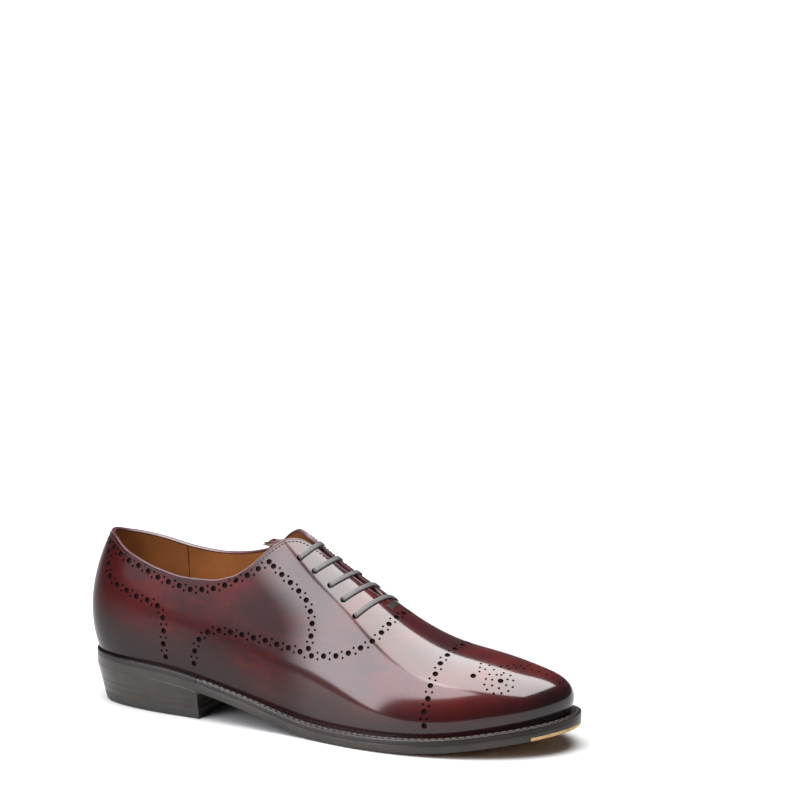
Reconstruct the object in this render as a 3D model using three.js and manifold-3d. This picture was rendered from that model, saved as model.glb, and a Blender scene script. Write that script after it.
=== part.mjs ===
// Men's whole-cut oxford shoe for the right foot, built layer by layer on a parametric last.
// Millimetres. +X runs from heel to toe, +Y to the inner (medial) side, +Z up.
import * as THREE from "three";
import { mergeVertices } from "three/addons/utils/BufferGeometryUtils.js";
import Module from "manifold-3d";

const wasm = await Module();
wasm.setup();

// ---------------------------------------------------------------- driving dimensions
const SHOE_LENGTH = 302; // feather line, heel to toe
const BALL_WIDTH = 86.5; // feather line across the ball
const INSTEP_HEIGHT = 120; // highest point of the last's ridge above its sole
const HEEL_PITCH = 22.4; // height of the outsole's underside at the back
const TOE_SPRING = 12.5; // lift of the outsole's underside at the toe
const CLEARANCE = 0.25; // between pieces that touch or are glued

const UPPER_THICKNESS = 1.3;
const LINING_THICKNESS = 0.8;
const STIFFENER_THICKNESS = 1.2; // heel stiffener and toe puff
const TONGUE_THICKNESS = 1.1;
const TONGUE_LINING_THICKNESS = 0.7;
const LASTING_MARGIN = 6; // leather turned in under the insole
const BINDING_HEIGHT = 0.9;

const OUTSOLE_THICKNESS = 5;
const WELT_THICKNESS = 3;
const INSOLE_THICKNESS = 3;
const INSOLE_RIB_WIDTH = 1.7;
const SHANK_LENGTH = 105;
const SHANK_WIDTH = 12;
const SHANK_THICKNESS = 1.2;
const HEEL_SOCK_LENGTH = 82;
const HEEL_SOCK_THICKNESS = 1.4;

const HEEL_LENGTH = 80.5; // from the back of the feather line to the heel breast
const HEEL_TAPER = 6; // the heel's sides lean in by this much at the ground
const TOP_PIECE_THICKNESS = 5.5;
const HEEL_LIFT_THICKNESS = 3.6;
const NAIL_RADIUS = 1.1;
const NAIL_LENGTH = 8.5;

const EYELET_BORE = 1.9; // radius of the hole that the lace goes through
const EYELET_WALL = 0.35;
const EYELET_FLANGE = 1.2; // how far the flange stands out from the barrel
const EYELET_PLAY = 0.65; // from the eyelet to the curved leather in front of it
const LACE_WIDTH = 3;
const LACE_THICKNESS = 1;
const LACE_DEPTH = 4.4; // hidden runs, below the upper's face
const LACE_LIFT = 0.95; // visible bars, above the upper's face
const LACE_ROOM = 0.6; // between the hidden runs and the tongue
const AGLET_LENGTH = 14;

const TOE_PLATE_LENGTH = 16;
const TOE_PLATE_THICKNESS = 2.2;
const SCREW_RADIUS = 1.8;
const SCREW_LENGTH = 4.4;
const THREAD_SIZE = 0.7;

// ---------------------------------------------------------------- the last, station by station
// A station goes round the feather line: 0 is the heel, 12 the toe tip, 1-11 the outer side
// and 13-23 the inner side. The tables are drawn for a last of the sizes below.
const DRAWN_LENGTH = 302;
const DRAWN_WIDTH = 86.5;
const DRAWN_INSTEP = 120;
const TOE = 12;
const LOOP = 24;
const OUTER_X = [1, 6, 22, 50, 84, 118, 150, 182, 212, 240, 265, 286];
const OUTER_Y = [0, -16, -26, -31, -33, -35.5, -38, -42.5, -44, -40, -31, -17];
const INNER_X = [296.5, 288, 266, 240, 212, 182, 150, 118, 84, 50, 22, 6];
const INNER_Y = [3, 21, 33, 40.5, 42.5, 35, 25, 22, 26, 29, 26, 16];
const RIDGE_X = [28, 30, 36, 56, 88, 121, 152, 183, 211, 237, 256, 266, 269];
const WALL_HEIGHT = [40, 40, 38, 36, 36, 34, 30, 26, 22, 20, 19, 19, 20];
const OUTER_BULGE = [15, 14, 8, 7, 8, 9, 7, 5, 4, 4, 5, 7, 9];
const INNER_BULGE = [15, 14, 8, 7, 10, 12, 9, 5, 4, 4, 5, 7, 9];
const RIDGE_REACH = [16, 13, 18, 17, 15, 16, 24, 27, 26, 24, 20, 15, 15];
const RIDGE_ANGLE = [-180, -150, -122, -102, -90, -90, -90, -90, -90, -90, -72, -42, 0];
const WELT_REACH = [1.4, 1.5, 2.3, 3, 3, 3.5, 5, 6, 6, 6, 6, 6, 6];
// Ridge height and underside height at even steps of the length.
const RIDGE_Z = [118, 119.5, 120, 120.5, 123, 114.5, 97, 81.5, 66, 55.5, 50.5, 44.5, 38];
const HEEL_CURVE = [1, 0.964, 0.9, 0.665, 0.37, 0.067, 0, 0, 0, 0, 0];
const TOE_CURVE = [0, 0, 0, 0, 0, 0, 0, 0.05, 0.24, 0.6, 1];
// Opening edge as a share of the wall, 0 at the feather line and 1 at the ridge, by station.
const THROAT = 7.2;
const OUTER_EDGE = [
  [0, 0.6], [1.3, 0.585], [2.3, 0.518], [3, 0.468], [3.5, 0.45], [4, 0.458], [4.4, 0.495],
  [4.7, 0.568], [5, 0.7], [5.25, 0.82], [5.5, 0.9], [5.8, 0.94], [6.2, 0.955], [6.8, 0.955],
  [THROAT, 1],
];
const INNER_EDGE = [
  [0, 0.6], [1, 0.57], [1.8, 0.548], [2.3, 0.53], [3, 0.497], [3.4, 0.492], [3.9, 0.507],
  [4.3, 0.54], [4.7, 0.625], [5, 0.745], [5.25, 0.85], [5.5, 0.92], [5.8, 0.943],
  [6.2, 0.955], [6.8, 0.955], [THROAT, 1],
];
// Eyelets as [station, share of the wall], top to bottom; the inner row sits a little forward.
const EYELETS = [[5.54, 0.772], [5.86, 0.775], [6.2, 0.768], [6.5, 0.74], [6.8, 0.692]];
const INNER_EYELET_SHIFT = [0, 0.05, 0.1, 0.15, 0.2];

const GRADE_X = SHOE_LENGTH / DRAWN_LENGTH;
const GRADE_Y = BALL_WIDTH / DRAWN_WIDTH;
const GRADE_Z = INSTEP_HEIGHT / DRAWN_INSTEP;

const COLUMNS = [
  0, 0.5, 1, 1.5, 2, 2.5, 3, 3.5, 4, 4.4, 4.7, 5, 5.2, 5.4, 5.7, 6.1, 6.5, 6.9, THROAT, 7.6,
  8, 8.5, 9, 9.5, 10, 10.4, 10.8, 11.2, 11.6, 12,
];
const ROWS = [0, 0.17, 0.34, 0.5, 0.64, 0.76, 0.86, 0.94, 1];
const MARGIN_ROW = -2; // end of the turned-in margin
const CORNER_ROW = -1; // where the wall turns under the insole

// ---------------------------------------------------------------- levels above the underside
const WELT_BOTTOM = OUTSOLE_THICKNESS + CLEARANCE;
const FEATHER_LEVEL = WELT_BOTTOM + WELT_THICKNESS;
const STIFFENER_DEPTH = UPPER_THICKNESS + CLEARANCE;
const LINING_SWELL = STIFFENER_THICKNESS + CLEARANCE;
const LINING_INNER = STIFFENER_DEPTH + LINING_THICKNESS;
const INSOLE_BOTTOM = WELT_BOTTOM + LINING_INNER + LINING_SWELL + CLEARANCE;
const INSOLE_TOP = INSOLE_BOTTOM + INSOLE_THICKNESS;
const INSOLE_INSET = LINING_INNER + LINING_SWELL + 0.6;
const RIB_INSET = LASTING_MARGIN + 4 * CLEARANCE;
const TONGUE_DEPTH = LACE_DEPTH + LACE_THICKNESS / 2 + LACE_ROOM;
const TONGUE_INNER = TONGUE_DEPTH + TONGUE_THICKNESS + CLEARANCE;

// ---------------------------------------------------------------- curves
/** Control values of the cubic B-spline that passes through the points at whole numbers. */
function splineControls(points, closed) {
  const count = points.length;
  let controls = points.slice();
  for (let pass = 0; pass < 60; pass += 1) {
    const last = controls;
    controls = points.map((point, i) => {
      if (!closed && (i === 0 || i === count - 1)) return point;
      return 1.5 * point - 0.25 * (last[(i + count - 1) % count] + last[(i + 1) % count]);
    });
  }
  return controls;
}

/** Smooth function through evenly spaced points. */
function spline(points, closed) {
  const controls = splineControls(points, closed);
  const count = controls.length;
  const at = (i) => {
    if (closed) return controls[((i % count) + count) % count];
    if (i < 0) return 2 * controls[0] - controls[1];
    if (i >= count) return 2 * controls[count - 1] - controls[count - 2];
    return controls[i];
  };
  return (u) => {
    const i = closed ? Math.floor(u) : Math.min(Math.max(Math.floor(u), 0), count - 2);
    const f = u - i;
    const before = (1 - f) ** 3 * at(i - 1);
    const here = (3 * f ** 3 - 6 * f ** 2 + 4) * at(i);
    const next = (-3 * f ** 3 + 3 * f ** 2 + 3 * f + 1) * at(i + 1);
    return (before + here + next + f ** 3 * at(i + 2)) / 6;
  };
}

/** Curve through [x, y] knots that never overshoots, flat at its first knot. */
function monotone(knots) {
  const last = knots.length - 1;
  const slope = (k) => (knots[k + 1][1] - knots[k][1]) / (knots[k + 1][0] - knots[k][0]);
  const tangents = knots.map((knot, k) => {
    if (k === 0) return 0;
    if (k === last) return slope(k - 1);
    const product = slope(k - 1) * slope(k);
    return product <= 0 ? 0 : (2 * product) / (slope(k - 1) + slope(k));
  });
  return (x) => {
    let k = 0;
    while (k < last - 1 && x > knots[k + 1][0]) k += 1;
    const width = knots[k + 1][0] - knots[k][0];
    const f = Math.min(Math.max((x - knots[k][0]) / width, 0), 1);
    const rise = knots[k + 1][1] - knots[k][1];
    const bend = f * (1 - f) * width;
    const ease = f * f * (3 - 2 * f);
    return knots[k][1] + rise * ease + bend * ((1 - f) * tangents[k] - f * tangents[k + 1]);
  };
}

/** Smooth step from 0 at `zero` to 1 at `one`. */
function ramp(x, zero, one) {
  const f = Math.min(Math.max((x - zero) / (one - zero), 0), 1);
  return f * f * (3 - 2 * f);
}

const mirrored = (outer, inner, sign = 1) => [
  ...outer.slice(0, TOE + 1),
  ...inner.slice(1, TOE).reverse().map((value) => sign * value),
];
const bothSides = (table) => spline(mirrored(table, table), true);

const featherX = spline([...OUTER_X, ...INNER_X].map((x) => x * GRADE_X), true);
const featherY = spline([...OUTER_Y, ...INNER_Y].map((y) => y * GRADE_Y), true);
const ridgeX = bothSides(RIDGE_X.map((x) => x * GRADE_X));
const wallHeight = bothSides(WALL_HEIGHT.map((z) => z * GRADE_Z));
const bulge = spline(mirrored(OUTER_BULGE, INNER_BULGE).map((y) => y * GRADE_Y), true);
const ridgeReach = bothSides(RIDGE_REACH.map((y) => y * GRADE_Y));
const ridgeAngle = spline([...mirrored(RIDGE_ANGLE, RIDGE_ANGLE, -1), -RIDGE_ANGLE[0]], false);
const weltReach = bothSides(WELT_REACH);
const ridgeZ = spline(RIDGE_Z.map((z) => z * GRADE_Z), false);
const heelCurve = spline(HEEL_CURVE, false);
const toeCurve = spline(TOE_CURVE, false);
const outerEdge = monotone(OUTER_EDGE);
const innerEdge = monotone(INNER_EDGE);

/** Height of the outsole's underside above the ground. */
function soleZ(x) {
  const u = Math.min(Math.max((x / SHOE_LENGTH) * 10, 0), 10);
  return Math.max(HEEL_PITCH * heelCurve(u) + TOE_SPRING * toeCurve(u), 0);
}

/** Point of the last's ridge, which swings towards the big toe. */
function ridge(x) {
  const swing = Math.min(Math.max((x / SHOE_LENGTH - 0.6) / 0.364, 0), 1);
  const y = 5 * GRADE_Y * swing * swing;
  const slopeY = (10 * GRADE_Y * swing) / (0.364 * SHOE_LENGTH);
  const height = (at) => ridgeZ(Math.min(Math.max((at / SHOE_LENGTH) * 12, 0), 12));
  return { y, z: height(x), slopeY, slopeZ: height(x + 0.5) - height(x - 0.5) };
}

const station = (s) => ((s % LOOP) + LOOP) % LOOP;

/** Plan point of the feather line and its outward direction. */
function feather(s) {
  const at = station(s);
  const step = 1e-3;
  const dx = featherX(at + step) - featherX(at - step);
  const dy = featherY(at + step) - featherY(at - step);
  const length = Math.hypot(dx, dy);
  return { x: featherX(at), y: featherY(at), nx: dy / length, ny: -dx / length };
}

/** Share of the wall where the opening's edge lies; 1 ahead of the throat. */
function edgeShare(s) {
  const at = station(s);
  const outer = at <= TOE;
  const fromHeel = outer ? at : LOOP - at;
  if (fromHeel > THROAT - 1e-6) return 1;
  return outer ? outerEdge(fromHeel) : innerEdge(fromHeel);
}

/** Direction of the ridge and the direction in which station s arrives at it. */
function ridgeFrame(s) {
  const at = station(s);
  const x = ridgeX(at);
  const { slopeY, slopeZ } = ridge(x);
  const angle = THREE.MathUtils.degToRad(ridgeAngle(at));
  const along = new THREE.Vector3(1, slopeY, slopeZ);
  const arrive = along.clone().multiplyScalar(Math.cos(angle));
  arrive.y += Math.sin(angle);
  return { x, along, arrive };
}

/** Point of the last's surface: a cubic from the feather line up to the ridge. */
function lastPoint(s, t) {
  const at = station(s);
  const foot = feather(at);
  const { x, arrive } = ridgeFrame(at);
  const top = ridge(x);
  const start = new THREE.Vector3(foot.x, foot.y, soleZ(foot.x) + FEATHER_LEVEL);
  const out = bulge(at);
  const wall = new THREE.Vector3(foot.nx * out, foot.ny * out, wallHeight(at)).add(start);
  const end = new THREE.Vector3(x, top.y, top.z);
  const reach = arrive.multiplyScalar(ridgeReach(at)).add(end);
  const r = 1 - t;
  return start.multiplyScalar(r ** 3)
    .addScaledVector(wall, 3 * r * r * t)
    .addScaledVector(reach, 3 * r * t * t)
    .addScaledVector(end, t ** 3);
}

/** Outward unit normal of the last. */
function lastNormal(s, t) {
  if (t > 0.999) {
    return new THREE.Vector3().crossVectors(ridgeFrame(s).along, new THREE.Vector3(0, 1, 0))
      .normalize();
  }
  const step = 1e-3;
  const along = lastPoint(s + step, t).sub(lastPoint(s - step, t));
  const up = lastPoint(s, t + step).sub(lastPoint(s, t));
  return along.cross(up).normalize();
}

/** Point at a depth below the last's surface, on the wall or on the turned-in margin. */
function layerPoint(s, row, depth, share = edgeShare(s)) {
  if (row >= 0) return lastPoint(s, row * share).addScaledVector(lastNormal(s, row * share), -depth);
  const foot = feather(s);
  const inset = row === MARGIN_ROW ? LASTING_MARGIN : depth;
  const x = foot.x - foot.nx * inset;
  return new THREE.Vector3(x, foot.y - foot.ny * inset, soleZ(x) + WELT_BOTTOM + depth);
}

/** How far the stiffener or the puff pushes the lining in, 0 to 1. */
function swell(s, row) {
  const at = station(s);
  const fromHeel = Math.min(at, LOOP - at);
  const heel = ramp(fromHeel, 3.6, 2.4) * ramp(row, 0.95, 0.6);
  return Math.max(heel, ramp(Math.abs(at - TOE), 3.2, 2));
}

// ---------------------------------------------------------------- building solids
/** Closed geometry from triangles, with slivers dropped and its faces turned outward. */
function solid(triangles) {
  const kept = triangles.filter(([a, b, c]) => {
    return a.distanceTo(b) > 1e-3 && b.distanceTo(c) > 1e-3 && c.distanceTo(a) > 1e-3;
  });
  const volume = kept.reduce((sum, [a, b, c]) => sum + a.dot(b.clone().cross(c)), 0);
  const order = volume < 0 ? [0, 2, 1] : [0, 1, 2];
  const positions = kept.flatMap((corners) => order.flatMap((k) => corners[k].toArray()));
  const geometry = new THREE.BufferGeometry();
  geometry.setAttribute("position", new THREE.Float32BufferAttribute(positions, 3));
  return mergeVertices(geometry, 1e-3);
}

const quad = (a, b, c, d) => [[a, b, c], [a, c, d]];

/** Station columns from one station to another, which may run past the heel or the toe. */
function columnsBetween(from, to) {
  const all = [];
  for (let turn = -1; turn <= 1; turn += 1) {
    COLUMNS.forEach((s) => all.push(turn * LOOP + s, turn * LOOP - s));
  }
  const inside = all.filter((s) => s > from + 0.05 && s < to - 0.05);
  return [...new Set([from, ...inside, to])].sort((a, b) => a - b);
}

/** Shell between two depth functions, over a range of stations and rows. */
function shell({ from, to, rows, outer, inner }) {
  const whole = to - from >= LOOP;
  const columns = columnsBetween(from, to);
  const grid = (depth) => columns.map((s) => rows.map((v) => layerPoint(s, v, depth(s, v))));
  const outside = grid(outer);
  const inside = grid(inner);
  const top = rows.length - 1;
  const triangles = [];
  for (let i = 0; i < columns.length - 1; i += 1) {
    for (let j = 0; j < top; j += 1) {
      triangles.push(...quad(outside[i][j], outside[i + 1][j], outside[i + 1][j + 1], outside[i][j + 1]));
      triangles.push(...quad(inside[i][j], inside[i][j + 1], inside[i + 1][j + 1], inside[i + 1][j]));
    }
    triangles.push(...quad(outside[i + 1][0], outside[i][0], inside[i][0], inside[i + 1][0]));
    const joined = rows[top] === 1 && edgeShare(columns[i]) === 1 && edgeShare(columns[i + 1]) === 1;
    if (!joined) {
      triangles.push(...quad(outside[i][top], outside[i + 1][top], inside[i + 1][top], inside[i][top]));
    }
  }
  if (!whole) {
    const end = columns.length - 1;
    for (let j = 0; j < top; j += 1) {
      triangles.push(...quad(outside[0][j], outside[0][j + 1], inside[0][j + 1], inside[0][j]));
      triangles.push(...quad(outside[end][j + 1], outside[end][j], inside[end][j], inside[end][j + 1]));
    }
  }
  return solid(triangles);
}

/** Band or ring through matching polygon sections. */
function sweep(sections, closed) {
  const count = sections.length;
  const sides = sections[0].length;
  const triangles = [];
  for (let k = 0; k < (closed ? count : count - 1); k += 1) {
    const here = sections[k];
    const next = sections[(k + 1) % count];
    for (let j = 0; j < sides; j += 1) {
      const beside = (j + 1) % sides;
      triangles.push(...quad(here[j], next[j], next[beside], here[beside]));
    }
  }
  if (!closed) {
    for (let j = 1; j < sides - 1; j += 1) {
      triangles.push([sections[0][0], sections[0][j], sections[0][j + 1]]);
      const end = sections[count - 1];
      triangles.push([end[0], end[j + 1], end[j]]);
    }
  }
  return solid(triangles);
}

/** Plate between matching pairs of plan points, from a lower to an upper height function. */
function plate(lowPairs, highPairs, lowZ, highZ) {
  const lift = ([x, y], height) => new THREE.Vector3(x, y, height(x));
  const low = lowPairs.map((pair) => pair.map((point) => lift(point, lowZ)));
  const high = highPairs.map((pair) => pair.map((point) => lift(point, highZ)));
  const triangles = [];
  const last = low.length - 1;
  for (let k = 0; k < last; k += 1) {
    triangles.push(...quad(high[k][0], high[k + 1][0], high[k + 1][1], high[k][1]));
    triangles.push(...quad(low[k][0], low[k][1], low[k + 1][1], low[k + 1][0]));
    triangles.push(...quad(low[k][0], low[k + 1][0], high[k + 1][0], high[k][0]));
    triangles.push(...quad(low[k + 1][1], low[k][1], high[k][1], high[k + 1][1]));
  }
  triangles.push(...quad(low[0][1], low[0][0], high[0][0], high[0][1]));
  triangles.push(...quad(low[last][0], low[last][1], high[last][1], high[last][0]));
  return solid(triangles);
}

/** Plan point of the feather line moved inward (outward when negative). */
function insetPoint(s, inset) {
  const foot = feather(s);
  return [foot.x - foot.nx * inset, foot.y - foot.ny * inset];
}

/** Station at which an inset outline crosses x, on the side that starts at the heel. */
function stationAt(x, inset, side) {
  let low = 0;
  let high = TOE;
  for (let pass = 0; pass < 40; pass += 1) {
    const middle = (low + high) / 2;
    if (insetPoint(side * middle, inset)[0] < x) low = middle;
    else high = middle;
  }
  return (low + high) / 2;
}

/** Matching outer and inner plan points of an inset outline, between two x values. */
function pairsBetween(fromX, toX, insetAt) {
  const ends = (side) => {
    const first = fromX === null ? 0 : stationAt(fromX, insetAt(4), side);
    const last = toX === null ? TOE : stationAt(toX, insetAt(4), side);
    return [first, last];
  };
  const [outerFirst, outerLast] = ends(1);
  const [innerFirst, innerLast] = ends(-1);
  const steps = columnsBetween(outerFirst, outerLast);
  return steps.map((s) => {
    const share = (s - outerFirst) / (outerLast - outerFirst);
    const opposite = innerFirst + share * (innerLast - innerFirst);
    return [insetPoint(s, insetAt(s)), insetPoint(-opposite, insetAt(opposite))];
  });
}

const above = (level) => (x) => soleZ(x) + level;
const flat = (z) => () => z;

function asManifold(geometry) {
  const bare = mergeVertices(geometry, 1e-3);
  const positions = Float32Array.from(bare.getAttribute("position").array);
  const triVerts = Uint32Array.from(bare.index.array);
  return new wasm.Manifold(new wasm.Mesh({ numProp: 3, vertProperties: positions, triVerts }));
}

/** Geometry with every cutter taken away. */
function cut(geometry, cutters) {
  const left = cutters.reduce((body, cutter) => body.subtract(asManifold(cutter)), asManifold(geometry));
  const mesh = left.getMesh();
  const result = new THREE.BufferGeometry();
  result.setAttribute("position", new THREE.Float32BufferAttribute(mesh.vertProperties, 3));
  result.setIndex([...mesh.triVerts]);
  return result;
}

/** Cylinder from one point to another. */
function rod(from, to, radius, sides) {
  const axis = to.clone().sub(from);
  const geometry = new THREE.CylinderGeometry(radius, radius, axis.length(), sides);
  geometry.deleteAttribute("normal");
  geometry.deleteAttribute("uv");
  const turn = new THREE.Quaternion().setFromUnitVectors(new THREE.Vector3(0, 1, 0), axis.normalize());
  geometry.applyQuaternion(turn);
  const centre = from.clone().add(to).multiplyScalar(0.5);
  geometry.translate(centre.x, centre.y, centre.z);
  return mergeVertices(geometry, 1e-3);
}

// ---------------------------------------------------------------- leather layers
const WALL = [MARGIN_ROW, CORNER_ROW, ...ROWS];
const liningOuter = (s, v) => STIFFENER_DEPTH + LINING_SWELL * swell(s, v);
const liningInner = (s, v) => liningOuter(s, v) + LINING_THICKNESS;
const SEAM = 0.01; // stations left open on each side of a lining seam

const sideOf = (s, side) => (side > 0 ? s : LOOP - s);

/** Frame of an eyelet: where it sits on the last and which way it faces. */
function eyeletFrame(index, side) {
  const [s, t] = EYELETS[index];
  const at = sideOf(side > 0 ? s : s + INNER_EYELET_SHIFT[index], side);
  return { s: at, t, point: lastPoint(at, t), normal: lastNormal(at, t) };
}

/** Cutter for one eyelet hole, wide enough for the lace or for the eyelet's barrel. */
function eyeletCutter(index, side, radius) {
  const { point, normal } = eyeletFrame(index, side);
  const from = point.clone().addScaledVector(normal, -6);
  const to = point.clone().addScaledVector(normal, 3);
  return rod(from, to, radius, 10);
}

const eyeletCutters = (side, radius) => EYELETS.map((_, index) => eyeletCutter(index, side, radius));
const BARREL_HOLE = EYELET_BORE + EYELET_WALL + CLEARANCE;

function makeUpper() {
  const blank = shell({ from: 0, to: LOOP, rows: WALL, outer: () => 0, inner: () => UPPER_THICKNESS });
  return cut(blank, [...eyeletCutters(1, EYELET_BORE), ...eyeletCutters(-1, EYELET_BORE)]);
}

function makeLining(from, to) {
  const range = { from: from + SEAM, to: to - SEAM };
  return shell({ ...range, rows: WALL, outer: liningOuter, inner: liningInner });
}

const HEEL_SEAM = 2.8;
const VAMP_SEAM = 6.5;
const makeHeelLining = () => makeLining(-HEEL_SEAM, HEEL_SEAM);

/** Quarter lining: the eyelets up to the vamp seam pass through it. */
function makeQuarterLining(side) {
  const from = side > 0 ? HEEL_SEAM : LOOP - VAMP_SEAM;
  const to = side > 0 ? VAMP_SEAM : LOOP - HEEL_SEAM;
  return cut(makeLining(from, to), eyeletCutters(side, BARREL_HOLE));
}

function makeVampLining() {
  const blank = makeLining(VAMP_SEAM, LOOP - VAMP_SEAM);
  return cut(blank, [...eyeletCutters(1, BARREL_HOLE), ...eyeletCutters(-1, BARREL_HOLE)]);
}

/** Stiffener or puff: skived to nothing much at its edges, where the swell runs out. */
function makeStiffener(from, to, rows) {
  return shell({
    from, to, rows,
    outer: () => STIFFENER_DEPTH,
    inner: (s, v) => STIFFENER_DEPTH + STIFFENER_THICKNESS * swell(s, v),
  });
}

const makeHeelStiffener = () => makeStiffener(-3, 3, WALL.filter((v) => v <= 0.76));
const makeToePuff = () => makeStiffener(9.5, 14.5, WALL);

/** Rolled binding over the edges of the upper and its linings, right round the opening. */
function makeBinding() {
  const stations = columnsBetween(-THROAT, THROAT).slice(1);
  const edge = stations.map((s) => lastPoint(s, edgeShare(s)));
  const count = stations.length;
  const sections = stations.map((s, k) => {
    const normal = lastNormal(s, edgeShare(s));
    const before = edge[k].clone().sub(edge[(k + count - 1) % count]);
    const after = edge[(k + 1) % count].clone().sub(edge[k]);
    const away = [before, after].map((run) => normal.clone().cross(run).normalize());
    const share = Math.max(1 + away[0].dot(away[1]), 0.5);
    const out = away[0].add(away[1]).divideScalar(share);
    const depths = [0, LINING_INNER];
    const corner = (height, depth) => {
      return edge[k].clone().addScaledVector(out, height).addScaledVector(normal, -depth);
    };
    const top = CLEARANCE + BINDING_HEIGHT;
    return [
      corner(CLEARANCE, depths[0]), corner(top, depths[0] + 0.3),
      corner(top, depths[1] - 0.3), corner(CLEARANCE, depths[1]),
    ];
  });
  return sweep(sections, true);
}

// ---------------------------------------------------------------- tongue
const TONGUE_BACK = 4.85;
const TONGUE_FRONT = 7.45;
const TONGUE_STEPS = 12;

/** Half width of the tongue as a share of the wall, rounded at its free end. */
function tongueHalf(s) {
  const body = 0.2 + 0.13 * ramp(s, TONGUE_FRONT, 6.2);
  const fromEnd = Math.min((s - TONGUE_BACK) / 0.48, 1);
  return body * Math.sqrt(Math.max(1 - (1 - fromEnd) ** 2, 0.15));
}

/** The free end of the tongue lies flatter than the ridge, so it drops away from it. */
const tongueDrop = (s) => 9.5 * ramp(s, 5.75, 4.7) ** 1.3;

function makeTongueLayer(depth, thickness) {
  const across = [-1, -0.75, -0.5, -0.25, 0, 0.25, 0.5, 0.75, 1];
  const rows = [];
  for (let k = 0; k <= TONGUE_STEPS; k += 1) {
    const s = TONGUE_BACK + ((TONGUE_FRONT - TONGUE_BACK) * k) / TONGUE_STEPS;
    const layer = (deep) => across.map((a) => {
      const at = a <= 0 ? s : LOOP - s;
      const t = 1 - Math.abs(a) * tongueHalf(s);
      const total = deep + tongueDrop(s);
      return lastPoint(at, t).addScaledVector(lastNormal(at, t), -total);
    });
    const upper = layer(depth);
    const lower = layer(depth + thickness).reverse();
    rows.push([...upper, ...lower]);
  }
  const triangles = [];
  const sides = rows[0].length;
  const width = across.length;
  for (let k = 0; k < TONGUE_STEPS; k += 1) {
    for (let j = 0; j < sides; j += 1) {
      const beside = (j + 1) % sides;
      triangles.push(...quad(rows[k][j], rows[k + 1][j], rows[k + 1][beside], rows[k][beside]));
    }
  }
  [[rows[0], 1], [rows[TONGUE_STEPS], -1]].forEach(([row, turn]) => {
    for (let j = 0; j < width - 1; j += 1) {
      const strip = [row[j], row[j + 1], row[sides - 2 - j], row[sides - 1 - j]];
      triangles.push(...quad(...(turn > 0 ? strip : strip.reverse())));
    }
  });
  return solid(triangles);
}

// ---------------------------------------------------------------- eyelets and lace
/** Blind eyelet: a short barrel through the lining with a flange behind it. */
function makeEyelet(index, side) {
  const { point, normal } = eyeletFrame(index, side);
  const barrel = EYELET_BORE + EYELET_WALL;
  const front = -(UPPER_THICKNESS + EYELET_PLAY);
  const back = -(LINING_INNER + EYELET_PLAY);
  const profile = [
    [EYELET_BORE, front], [barrel, front], [barrel, back], [barrel + EYELET_FLANGE, back],
    [barrel + EYELET_FLANGE, back - EYELET_WALL], [EYELET_BORE, back - EYELET_WALL],
    [EYELET_BORE, front],
  ];
  const geometry = new THREE.LatheGeometry(profile.map(([r, y]) => new THREE.Vector2(r, y)), 10);
  geometry.deleteAttribute("normal");
  geometry.deleteAttribute("uv");
  geometry.applyQuaternion(new THREE.Quaternion().setFromUnitVectors(new THREE.Vector3(0, 1, 0), normal));
  geometry.translate(point.x, point.y, point.z);
  const merged = mergeVertices(geometry, 1e-3);
  const corners = [...merged.index.array].map((i) => {
    return new THREE.Vector3().fromBufferAttribute(merged.getAttribute("position"), i);
  });
  const triangles = [];
  for (let k = 0; k < corners.length; k += 3) triangles.push(corners.slice(k, k + 3));
  return solid(triangles);
}

/** Station and share along lace bar `index`, where q runs from -1 (outer) to 1 (inner). */
function barAt(index, q) {
  const [s, t] = EYELETS[index];
  const slant = (INNER_EYELET_SHIFT[index] * (q + 1)) / 2;
  const bow = 0.15 * (1 - q * q);
  const fromHeel = s + slant + bow;
  return [q <= 0 ? fromHeel : LOOP - fromHeel, 1 - (1 - t) * Math.abs(q)];
}

/** One point of the lace: its place and the direction across its width. */
function lacePoint(s, t, height, turn) {
  const point = lastPoint(s, t).addScaledVector(lastNormal(s, t), height);
  const step = 1e-2;
  const along = lastPoint(s + step, t).sub(lastPoint(s - step, t)).normalize();
  const up = lastPoint(s, t).sub(lastPoint(s, t - step)).normalize();
  const side = station(s) > TOE ? -1 : 1;
  const width = along.multiplyScalar(side * Math.cos(turn)).addScaledVector(up, Math.sin(turn));
  return { point, width };
}

const STATION_SIZE = 30; // about how far apart stations are at the lacing
const WALL_SIZE = 70; // about how long the wall is there, feather line to ridge

/** Run between two [station, share] places, in millimetres towards the toe and upward. */
function runBetween(from, to) {
  const side = station(from[0]) > TOE ? -1 : 1;
  return [side * (to[0] - from[0]) * STATION_SIZE, (to[1] - from[1]) * WALL_SIZE];
}

/** Turn that keeps the lace's width square to a hidden run. */
function runTurn(from, to) {
  const [forward, up] = runBetween(from, to);
  return Math.atan2(forward, -up);
}

/** Lace route between two places on the last, all at one depth. */
function hiddenRun(from, to, steps) {
  const turn = runTurn(from, to);
  const points = [];
  for (let k = 1; k < steps; k += 1) {
    const f = k / steps;
    const s = from[0] + (to[0] - from[0]) * f;
    const t = from[1] + (to[1] - from[1]) * f;
    points.push(lacePoint(s, t, -LACE_DEPTH, turn));
  }
  return points;
}

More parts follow.
